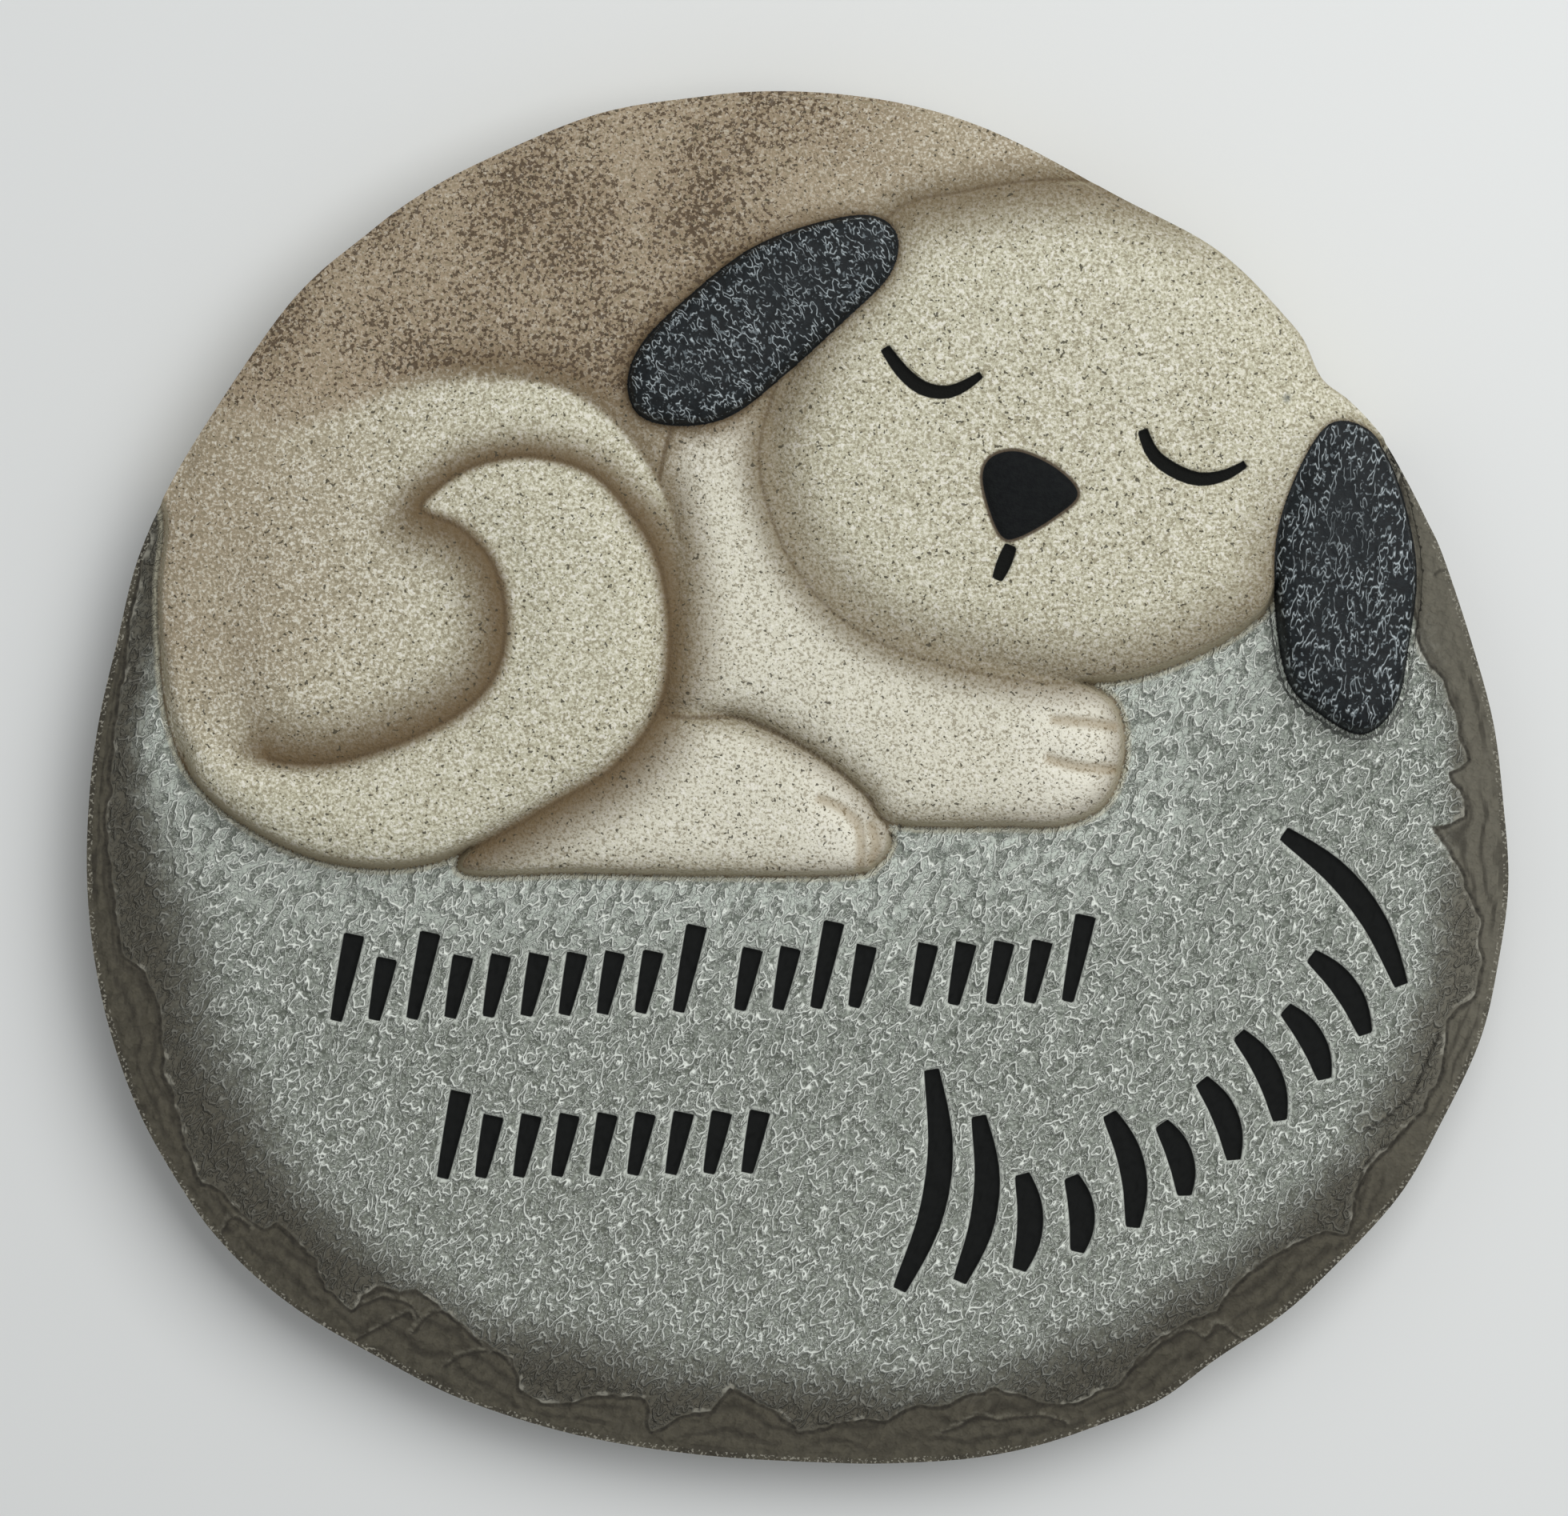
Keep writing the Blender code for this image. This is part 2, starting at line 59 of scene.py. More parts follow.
# The broken line at which the slate's rim is flaked away, clockwise from the right ear.
brokenLine = [
    (119, 62.5), (118, 57), (120, 51), (119.5, 44), (120.8, 32), (122.5, 24.5), (126.5, 19),
    (129.5, 11.5), (131.5, 3.5), (128, 1), (131.5, -6), (131.8, -8), (124.5, -9.5),
    (126.5, -12.5), (131, -20), (134.2, -28), (134.5, -36.5), (133.5, -42), (127.5, -47.5),
    (127, -55.5), (124, -63.5), (118.5, -70), (111.5, -77), (109.5, -83), (108, -89.5),
    (103.5, -89), (99, -91.5), (91.5, -94.5), (86, -99.5), (82.5, -105), (77.5, -107),
    (71.5, -110), (66.5, -115), (63.5, -119), (54, -123), (47.5, -123), (39, -120),
    (36, -121), (29.5, -123.5), (24, -123.5), (16, -126), (8.5, -127), (0, -128.5),
    (-3.5, -125), (-7.5, -123.5), (-10, -121), (-13.5, -119.5), (-17, -124.5),
    (-22.5, -125.5), (-28.7, -128.5), (-29.3, -123.5), (-31, -122), (-39.5, -121.5),
    (-46.5, -123), (-50.5, -122.5), (-54.5, -120), (-56, -114.5), (-61.5, -111.5),
    (-65.5, -107.5), (-71, -104), (-75, -101), (-83, -100.5), (-86, -102), (-88, -104.5),
    (-92.5, -100.5), (-94.5, -95), (-99.5, -90), (-102.5, -87.5), (-105, -88.5),
    (-109.5, -86), (-113, -81.5), (-117.5, -79), (-121.5, -68), (-124.5, -58), (-125, -50),
    (-125.4, -45), (-128.5, -38), (-133, -34.5), (-134, -28), (-136, -8), (-134, 10),
    (-131.5, 30), (-127.5, 48),
]

# Flake scars beside the broken line: how deep each is in millimetres, and its upper edge.
flakeScars = [
    (0.7, [(-87.4, -104.4), (-82.8, -102.3), (-78.6, -102.7), (-75.8, -104.1), (-74.5, -106)]),
    (0.9, [(-87, -110.4), (-82.8, -108.3), (-79.3, -106.2), (-76.5, -105.1), (-75.6, -106.4)]),
    (1.0, [(-75.8, -109), (-73, -105.8), (-70.9, -105), (-68.8, -105.4), (-64.5, -109.5), (-61, -112.8)]),
    (0.8, [(-69.5, -115.6), (-66.7, -113.9), (-62.5, -112.8), (-58.2, -113.5), (-56.5, -115.5)]),
    (0.6, [(-113.6, -89.5), (-112.3, -87.2), (-110.2, -86.5), (-107.5, -88.5)]),
    (0.8, [(28.1, -129), (32.4, -127.3), (35.2, -125.5), (39.4, -126.2), (47.7, -125.5), (53, -127)]),
    (1.0, [(64.6, -117.5), (70.5, -112.2), (76.3, -108.7), (80.2, -110), (82.8, -107.4), (88.1, -110.6)]),
    (0.35, [(110.9, -69.2), (114.1, -67.9), (118.1, -64.6), (120.7, -62), (122.6, -58.1), (126, -50)]),
    (0.6, [(109.6, -82.9), (110.9, -77.7), (113.5, -73.8), (117.4, -71.2), (121.3, -67.2)]),
    (0.5, [(124.6, 39.4), (126, 41), (127.6, 41.3), (129.4, 40)]),
]

# Each relief form, lowest first: its outline, how high its edge and crest stand over the
# slate ground, how far in the shoulder reaches and how full it is.
reliefForms = {
    "back": {
        "edge": 2.4, "crest": 5.2, "shoulder": 34, "fullness": 4.5,
        "outline": [
            (-130, 68), (-100, 105), (-60, 130), (0, 142), (50, 130), (72, 112), (60, 70),
            (20, 30), (-22, 12), (-60, -8), (-98, -12), (-114, -4), (-122.5, 8),
            (-125.5, 24), (-126, 38), (-125, 52),
        ]},
    "hindLeg": {
        "edge": 2.0, "crest": 5.4, "shoulder": 13, "fullness": 2.6,
        "outline": [
            (-24.5, 15.5), (-10.5, 11.5), (3.5, 4.5), (13, -3), (18.5, -11.5), (16, -17),
            (10, -19.3), (-15.5, -19.5), (-43.5, -19), (-67, -18.3), (-56, -4.5),
            (-40.5, 11.5),
        ]},
    "foreleg": {
        "edge": 2.0, "crest": 6.8, "shoulder": 14, "fullness": 2.6,
        "outline": [
            (-27, 60), (-28, 36), (-28, 14), (-10.5, 11.5), (3.5, 4.5), (13, -3),
            (19, -9.3), (40, -9.8), (52.5, -9.5), (61, -5), (64.5, 4), (63.5, 13),
            (58.5, 18), (40, 27), (16, 43), (2, 60), (-4, 74), (-20, 76),
        ]},
    "haunch": {
        "edge": 4.3, "crest": 7.6, "shoulder": 30, "fullness": 3.0,
        "outline": [
            (-87.5, 71), (-75, 77), (-61, 79), (-46.5, 77), (-35, 69.5), (-26.5, 57),
            (-22.5, 43), (-22, 30), (-24.5, 16.5), (-37.5, 2), (-56, -6), (-78, -7.5),
            (-100, -3), (-114, 11.5), (-119, 30), (-116, 49), (-103.5, 63),
        ]},
    "tail": {
        "edge": 3.0, "crest": 8.6, "shoulder": 10, "fullness": 2.4,
        "outline": [
            (-74, 52.8), (-68.5, 58.5), (-61, 62), (-51.5, 63), (-41, 60), (-33.5, 53),
            (-27.5, 43), (-25, 28.5), (-27, 14), (-35.5, 2.5), (-48.5, -5.5), (-61, -12.5),
            (-72, -17), (-84.5, -18), (-98.5, -15), (-112, -7.5), (-120.5, 1.5),
            (-124.5, 13), (-125.5, 27), (-121, 32), (-116.5, 17), (-113, 9.5), (-105, 4),
            (-92.5, 3), (-78, 7), (-65.5, 13.5), (-59, 21.5), (-57.5, 32), (-60, 42),
            (-66.5, 49),
        ]},
    "head": {
        "edge": 3.2, "crest": 9.4, "shoulder": 34, "fullness": 3.2,
        "outline": [
            (-7.5, 65), (-5.5, 52), (0.5, 39.5), (11.5, 29), (25.5, 23), (44.5, 19),
            (63.5, 19), (79, 24), (90.5, 31), (94.5, 37), (97, 47), (102, 57), (110, 63),
            (119, 68), (116, 76), (108, 84), (98, 96), (84, 108), (67, 116), (49, 117.5),
            (32, 115), (19.5, 111.5), (8.5, 98), (-2.5, 80.5),
        ]},
    "leftEar": {
        "edge": 7.4, "crest": 10.0, "shoulder": 8.5, "fullness": 2.4,
        "outline": [
            (-33.5, 77.5), (-30.5, 85.5), (-21.5, 94.5), (-10, 103.5), (2, 108.5),
            (14, 110.5), (19.5, 106.5), (18, 98.5), (8.5, 89), (-2, 79.5), (-13, 71),
            (-23, 69), (-31, 71),
        ]},
    "rightEar": {
        "edge": 5.2, "crest": 7.8, "shoulder": 9, "fullness": 2.4,
        "outline": [
            (104.5, 69.5), (112, 68.5), (117, 61.5), (120.5, 50.5), (122, 39.5),
            (120.5, 26.5), (118, 14.5), (111.5, 8.5), (103.5, 12), (96.5, 19), (94, 33.5),
            (94, 47.5), (98.5, 61),
        ]},
    "nose": {
        "edge": 9.0, "crest": 10.6, "shoulder": 6, "fullness": 2.4,
        "outline": [
            (36, 59), (38, 63), (43.5, 64), (51, 60.5), (55, 55.5), (50.5, 51), (43.5, 47),
            (40, 47), (37.5, 52),
        ]},
}

# Painted strokes in the figure: centre line, and widths at start, middle and end.
faceStrokes = [
    ([(17, 84.3), (20.5, 79.5), (24.5, 76.3), (29, 75.5), (32.5, 76.7), (36, 79)],
     (2.1, 2.9, 1.5)),
    ([(67.5, 68.2), (69.5, 63.5), (73.5, 60.3), (78.5, 58.5), (83.5, 59.2), (87.8, 61.5)],
     (2.1, 2.9, 1.5)),
    ([(41.8, 45.6), (40.6, 42.5), (39, 38.7)], (2.4, 3.0, 2.1)),
]
toeGrooves = [
    ([(50, 11.3), (55.5, 11), (62.5, 10)], (1.0, 1.3, 1.1)),
    ([(49, 3.8), (55, 2.2), (63, 1.5)], (1.0, 1.3, 1.1)),
    ([(4, -4), (9, -6.3), (12.3, -10.5), (12.3, -18.6)], (1.0, 1.3, 1.1)),
    ([(14.2, -9), (15.3, -13), (14.2, -17.2)], (1.0, 1.3, 1.1)),
]

# Engraved rows of wedge-like strokes. No stroke or row forms a letter.
engraving = {
    "depth": 1.2,
    "rowWidths": (2.4, 3.5, 4.2), "rowLean": math.radians(12), "pitch": 7.5, "wordGap": 4.6,
    "tall": 17.5, "low": 12.5,
    "rows": [
        {"start": (-91, -48), "turn": math.radians(1.5), "words": ["TlTllllllT", "llTl", "llllT"]},
        {"start": (-70, -79), "turn": math.radians(1.0), "words": ["Tllllllll"]},
    ],
    "arc": [(20, -101), (42, -97.5), (63.5, -90), (82.5, -78), (98, -65), (110, -53), (119, -41)],
    "arcLengths": [44, 33, 19, 15, 23, 15, 17, 19, 16, 19, 38],
    "arcWidths": (2.8, 5.2, 3.0), "arcLean": math.radians(16), "arcBow": 0.09,
}


def smoothLine(points, closed=True, steps=8):
    # A smooth line through the drawn points.
    p = np.array(points, float)
    if closed:
        a, b, c, d = (np.roll(p, k, axis=0)[:, None] for k in (1, 0, -1, -2))
    else:
        held = np.vstack([p[:1], p, p[-1:]])[:, None]
        a, b, c, d = held[:-3], held[1:-2], held[2:-1], held[3:]
    t = np.linspace(0, 1, steps, endpoint=False)[None, :, None]
    bend = 2 * a - 5 * b + 4 * c - d
    twist = 3 * b - a - 3 * c + d
    line = 0.5 * (2 * b + (c - a) * t + bend * t ** 2 + twist * t ** 3)
    line = line.reshape(-1, 2)
    return line if closed else np.vstack([line, p[-1:]])


def evenPoints(line, count, closed=True):
    # The line's points, spaced evenly along it.
    ring = np.vstack([line, line[:1]]) if closed else line
    along = np.concatenate([[0], np.cumsum(np.linalg.norm(np.diff(ring, axis=0), axis=1))])
    places = np.linspace(0, along[-1], count, endpoint=not closed)
    return np.column_stack([np.interp(places, along, ring[:, k]) for k in (0, 1)])


farAway = 25.0  # distances are measured no further than this, in millimetres
scarReach = 9.0  # from a flake scar's edge to where it has come up again


def insideBy(points, outline, reach=farAway):
    # How far each point lies inside a closed outline, negative outside, held at the reach.
    far = (points < outline.min(0) - reach).any(1) | (points > outline.max(0) + reach).any(1)
    near = np.flatnonzero(~far)
    found = np.full(len(points), -reach)
    start, end = outline, np.roll(outline, -1, axis=0)
    side = end - start
    length = (side ** 2).sum(1) + 1e-12
    for some in np.array_split(near, max(1, len(near) * len(outline) // 2000000)):
        p = points[some][:, None]
        share = np.clip(((p - start) * side).sum(2) / length, 0, 1)
        gap = p - start - share[..., None] * side
        distance = np.sqrt((gap ** 2).sum(2).min(1))
        spans = (start[:, 1] > p[..., 1]) != (end[:, 1] > p[..., 1])
        crossing = start[:, 0] + (p[..., 1] - start[:, 1]) * side[:, 0] / (side[:, 1] + 1e-12)
        inside = (spans & (p[..., 0] < crossing)).sum(1) % 2 == 1
        found[some] = np.where(inside, np.minimum(distance, reach), -np.minimum(distance, reach))
    return found


def strokeOutline(centre, widths, stations=14):
    # The outline of one brush-like stroke.
    line = evenPoints(smoothLine(centre, closed=False), stations, closed=False)
    along = np.gradient(line, axis=0)
    across = np.column_stack([-along[:, 1], along[:, 0]]) / np.linalg.norm(along, axis=1)[:, None]
    t = np.linspace(0, 1, stations)
    width = widths[0] * (1 - t) * (1 - 2 * t) + widths[1] * 4 * t * (1 - t) + widths[2] * t * (2 * t - 1)
    half = across * width[:, None] / 2
    return np.vstack([line - half, (line + half)[::-1]])


def engravedStrokes():
    e = engraving
    outlines = []
    for row in e["rows"]:
        heading = np.array([math.cos(row["turn"]), math.sin(row["turn"])])
        lean = np.array([math.sin(e["rowLean"]), math.cos(e["rowLean"])])
        place = np.array(row["start"], float)
        for word in row["words"]:
            for mark in word:
                top = place + lean * (e["tall"] if mark == "T" else e["low"])
                outlines.append(strokeOutline([place, (place + top) / 2, top], e["rowWidths"]))
                place = place + heading * e["pitch"]
            place = place + heading * e["wordGap"]
    feet = evenPoints(smoothLine(e["arc"], closed=False), len(e["arcLengths"]), closed=False)
    c, s = math.cos(-e["arcLean"]), math.sin(-e["arcLean"])
    for foot, along, length in zip(feet, np.gradient(feet, axis=0), e["arcLengths"]):
        along = along / np.linalg.norm(along)
        up = np.array([-c * along[1] - s * along[0], -s * along[1] + c * along[0]]) * length
        bow = np.array([up[1], -up[0]]) * e["arcBow"]
        line = [foot, foot + up / 3 + bow, foot + up * 2 / 3 + bow, foot + up]
        outlines.append(strokeOutline(line, e["arcWidths"]))
    return outlines


def insideAny(points, outlines, reach=6.0):
    return np.max([insideBy(points, outline, reach) for outline in outlines], axis=0)


def blend(low, high, value):
    # 0 below low, 1 above high, and smooth between.
    t = np.clip((value - low) / (high - low), 0, 1)
    return t * t * (3 - 2 * t)


def noiseField(points, size, seed):
    # Smooth noise from -1 to 1, with lumps of about that size in millimetres.
    return np.array([noise.noise((x / size, y / size, seed)) for x, y in points])


# Named lines, drawn once for shape and paint.
edgeRing = smoothLine(stoneEdge)
angles = np.arctan2(edgeRing[:, 1], edgeRing[:, 0])
firstAngle = math.atan2(brokenLine[0][1], brokenLine[0][0])
lastAngle = math.atan2(brokenLine[-1][1], brokenLine[-1][0])
behindDog = edgeRing[(angles > firstAngle) & (angles < lastAngle)]
behindDog = behindDog[np.argsort(-np.arctan2(behindDog[:, 1], behindDog[:, 0]))] * 1.03
groundRing = np.vstack([brokenLine, behindDog])
scarEdges = [smoothLine(edge, closed=False, steps=4) for depth, edge in flakeScars]
formRings = {name: smoothLine(form["outline"]) for name, form in reliefForms.items()}
dogForms = ("back", "haunch", "hindLeg", "foreleg", "tail", "head")
rowOutlines = engravedStrokes()
faceOutlines = [strokeOutline(*stroke) for stroke in faceStrokes]
toeOutlines = [strokeOutline(*stroke) for stroke in toeGrooves]


def addScars(points, found):
    # Each scar drops below its edge and comes up again outwards and towards its two ends.
    for name in ("scarDepth", "scarShade", "scarLip"):
        found[name] = np.zeros(len(points))
    ragged = 0.35 * noiseField(points, 2.5, 2.9)
    for (depth, drawn), edge in zip(flakeScars, scarEdges):
        below = insideBy(points, np.vstack([edge, edge[::-1] * 1.12]), scarReach)
        away = -insideBy(points, np.vstack([edge, edge[::-1]]), scarReach)
        middle = blend(2.6, 1.0, away / np.maximum(below, 0.01)) * (below > 0)
        side = np.where(below > 0, away, -away) + ragged
        found["scarDepth"] += depth * blend(0, 0.5, side) * blend(scarReach, 0, away) * middle
        # Below each scar's edge a dark line of painted shade, above it a pale painted highlight.
        found["scarShade"] = np.maximum(found["scarShade"], blend(-0.1, 0.25, side) * blend(1.0, 0.4, side))
        found["scarLip"] = np.maximum(found["scarLip"], blend(-0.8, -0.3, side) * blend(0.1, -0.1, side))


# Dark paint and painted shade line the creases: the higher the number, the fainter on that outline.
creaseSoftness = {"haunch": 0.5, "hindLeg": 0.0, "foreleg": 0.0, "tail": 0.1, "head": 0.2,
                  "leftEar": 0.0, "rightEar": 0.0, "nose": 0.0}


def measure(points):
    # How far inside each form and line every point lies, in millimetres, and how far under
    # the forms that lie over each form.
    found = {name: insideBy(points, ring) for name, ring in formRings.items()}
    found["edge"] = insideBy(points, edgeRing, 60)
    found["ground"] = insideBy(points, groundRing) + 0.8 * noiseField(points, 5, 6.1)
    found["ground"] += 0.4 * noiseField(points, 1.8, 8.3)
    addScars(points, found)
    found["rows"] = insideAny(points, rowOutlines)
    found["face"] = insideAny(points, faceOutlines)
    found["toes"] = insideAny(points, toeOutlines)
    found["dog"] = np.max([found[name] for name in dogForms], axis=0)
    found["ears"] = np.maximum(found["leftEar"], found["rightEar"])
    # The nearest outline that no later form lies over.
    names = list(reliefForms)
    covers = {}
    for k, name in enumerate(names):
        later = [found[other] for other in names[k + 1:]]
        covers[name] = np.max(later + [np.full(len(points), -farAway)], axis=0)
    shown = {name: np.where(covers[name] < 0.3, np.abs(found[name]), farAway) for name in names}
    # The tail's end sinks into the back with no crease.
    onBack = blend(-104, -111, points[:, 0]) * blend(0, 3, found["back"])
    shown["haunch"] = shown["haunch"] + farAway * blend(-50, -80, points[:, 0])
    shown["tail"] = shown["tail"] + farAway * onBack
    found["outline"] = np.min(list(shown.values()), axis=0)
    found["crease"] = np.min([shown[name] + softer for name, softer in creaseSoftness.items()], axis=0)
    return found, covers


def flakeSteps(points, inside):
    # How far out in the flaked rim each point lies, from 0 to 1, its roughness, its layer
    # and where the layers show.
    flaked = -inside["ground"]
    share = np.clip(flaked / (flaked + np.maximum(inside["edge"], 0) + 0.01), 0, 1)
    rough = noiseField(points, 11, 3.1) + 0.35 * noiseField(points, 4, 7.7)
    layered = blend(-0.35, 0.0, noiseField(points, 18, 4.4))
    return share, rough, np.clip(share * 2.4 + 0.8 * rough, 0, 2.4), layered


def reliefHeight(points, inside):
    # Height over the slate ground, in millimetres.
    flaked = -inside["ground"]
    reach = np.maximum(inside["edge"], 0)
    share, rough, layer, layered = flakeSteps(points, inside)
    terrace = layer + layered * (np.floor(layer) + blend(0.35, 0.65, layer % 1) - layer)
    height = 0.35 * noiseField(points, 38, 1.3)
    # The haunch and the tail's end swell out of the back softly on the left.
    soft = {"haunch": 1.3 + 16 * blend(-50, -88, points[:, 0]),
            "tail": 1.3 + 5 * blend(-104, -112, points[:, 0]) * blend(0, 6, points[:, 1])}
    flake = -1.0 - 2.6 * share ** 1.4 - 0.9 * terrace + 0.25 * rough
    height += (flake - height) * blend(-0.1, 0.8, flaked) - inside["scarDepth"]
    # The two legs meet in a soft valley that doesn't reach the slate.
    between = np.minimum(inside["hindLeg"], inside["foreleg"])
    height = np.maximum(height, 2.0 * blend(-2.6, -1.4, between))
    for name, form in reliefForms.items():
        t = np.clip(np.minimum(inside[name], reach) / form["shoulder"], 0, 1)
        rollOff = 1.5 / form["shoulder"]
        t = t * t * (1 + rollOff) / (t + rollOff)
        swell = np.sqrt(1 - (1 - t) ** form["fullness"])
        top = form["edge"] + (form["crest"] - form["edge"]) * swell
        if name == "tail":  # its end sinks to the back's height
            top -= 3.4 * swell * blend(-100, -118, points[:, 0]) * blend(-4, 14, points[:, 1])
        ramp = blend(0, soft.get(name, 1.3), inside[name])
        height = np.where(top > height, height + (top - height) * ramp, height)
    height -= 0.35 * np.exp(-(inside["crease"] / 0.6) ** 2)
    height -= engraving["depth"] * blend(-0.4, 0.45, inside["rows"])
    height -= engraving["depth"] * blend(-0.4, 0.45, inside["face"])
    height -= 0.55 * blend(-0.6, 0.4, inside["toes"]) + 0.55 * blend(-2.6, 0.2, inside["toes"])
    return height


stoneSizes = {
    "groundHeight": 15.0,  # underside to the slate ground
    "edgePoints": 576,  # points round the stone, a multiple of 8
    "footRound": 1.2,  # round-off along the underside
    "wallRings": 4,
}


def refine(mesh, chosen):
    # Splits the faces that chosen picks from the measures at their centres.
    centres = np.zeros(len(mesh.polygons) * 3)
    mesh.polygons.foreach_get("center", centres)
    inside = measure(centres.reshape(-1, 3)[:, :2] / mm)[0]
    bpy.ops.object.mode_set(mode="EDIT")
    bpy.ops.mesh.select_mode(type="FACE")
    bpy.ops.mesh.select_all(action="DESELECT")
    bpy.ops.object.mode_set(mode="OBJECT")
    mesh.polygons.foreach_set("select", chosen(inside))
    bpy.ops.object.mode_set(mode="EDIT")
    bpy.ops.mesh.subdivide(number_cuts=1, smoothness=0)
    bpy.ops.object.mode_set(mode="OBJECT")
    print("refined to", len(mesh.polygons), "faces")


def makeStone():
    count = stoneSizes["edgePoints"]
    ring = evenPoints(edgeRing, count)
    bpy.ops.mesh.primitive_circle_add(vertices=count, radius=140 * mm, fill_type="NOTHING")
    stone = bpy.context.object
    stone.name = stone.data.name = "castStone"
    mesh = stone.data
    flat = np.zeros((count, 3))
    flat[:, :2] = ring[::-1] * mm
    mesh.vertices.foreach_set("co", flat.ravel())
    bpy.ops.object.mode_set(mode="EDIT")
    bpy.ops.mesh.select_all(action="SELECT")
    # Turned by an eighth, so that no corner of the grid falls on the notch above the right ear.
    bpy.ops.mesh.fill_grid(span=count // 4, offset=count // 8)
    bpy.ops.object.mode_set(mode="OBJECT")

    # The slate, the ears and the carving's lines get a finer mesh than the dog's smooth back.
    refine(mesh, lambda d: (d["dog"] < 0) | (d["ears"] > 0) | (d["outline"] < 2.2)
           | (d["face"] > -2) | (d["toes"] > -2))
    refine(mesh, lambda d: (d["outline"] < 1.1) | (np.abs(d["rows"]) < 0.7) | (np.abs(d["face"]) < 0.7)
           | (np.abs(d["ground"] + 0.3) < 0.7) | (d["scarShade"] > 0) | (np.abs(d["toes"]) < 0.6))
    return stone


def readPoints(mesh):
    co = np.zeros(len(mesh.vertices) * 3)
    mesh.vertices.foreach_get("co", co)
    return co.reshape(-1, 3)


def carveStone(stone):
    mesh = stone.data
    co = readPoints(mesh)
    inside = measure(co[:, :2] / mm)[0]
    co[:, 2] = (stoneSizes["groundHeight"] + reliefHeight(co[:, :2] / mm, inside)) * mm
    mesh.vertices.foreach_set("co", co.ravel())
    mesh.update()


def closeBelow(stone):
    # Walls down to the underside, with a rough cast face, and the flat underside.
    mesh = stone.data
    rings = stoneSizes["wallRings"]
    for k in range(rings + 1):
        bpy.ops.object.mode_set(mode="EDIT")
        bpy.ops.mesh.select_mode(type="EDGE")
        bpy.ops.mesh.select_all(action="DESELECT")
        bpy.ops.mesh.select_non_manifold()
        before = len(mesh.vertices)
        bpy.ops.mesh.extrude_edges_move(TRANSFORM_OT_translate={"value": (0, 0, -mm)})
        bpy.ops.object.mode_set(mode="OBJECT")
        co = readPoints(mesh)
        new = np.arange(before, len(co))
        plan = co[new, :2] / mm
        radius = np.linalg.norm(plan, axis=1)[:, None]
        if k == rings:  # the underside's rim, drawn in by the round-off
            co[new, 2] = 0
            co[new, :2] = plan * (1 - stoneSizes["footRound"] / radius) * mm
        else:
            foot = stoneSizes["footRound"] * mm
            co[new, 2] = foot + (co[new, 2] + mm - foot) * (rings - 1 - k) / (rings - k)
            chips = -0.35 * np.abs(noiseField(plan + k * 7.0, 3.5, 5.5 + k))[:, None]
            co[new, :2] = plan * (1 + chips / radius) * mm
        mesh.vertices.foreach_set("co", co.ravel())
        mesh.update()
    bpy.ops.object.mode_set(mode="EDIT")
    bpy.ops.mesh.select_all(action="DESELECT")
    bpy.ops.mesh.select_non_manifold()
    bpy.ops.mesh.edge_face_add()
    bpy.ops.mesh.select_all(action="SELECT")
    bpy.ops.mesh.normals_make_consistent(inside=False)
    bpy.ops.object.mode_set(mode="OBJECT")


# Brown airbrushing along each form's outline, deepened as painted shade in the creases and on the
# forms' shaded side: how far outside and inside it reaches in millimetres, its strength low on the
# form and high on it, and the height between the two.
airbrushAndShade = {
    "haunch": (9, 1.5, 0.6, 0.8, 30),
    "hindLeg": (5, 5, 0.6, 0.6, 0),
    "foreleg": (5, 6, 0.6, 0.65, 20),
    "tail": (14, 3, 1.0, 1.0, 20),
    "head": (7, 15, 0.7, 0.85, 66),
    "leftEar": (5, 0.5, 0.8, 0.6, 88),
    "rightEar": (4, 0.5, 0.45, 0.25, 40),
}


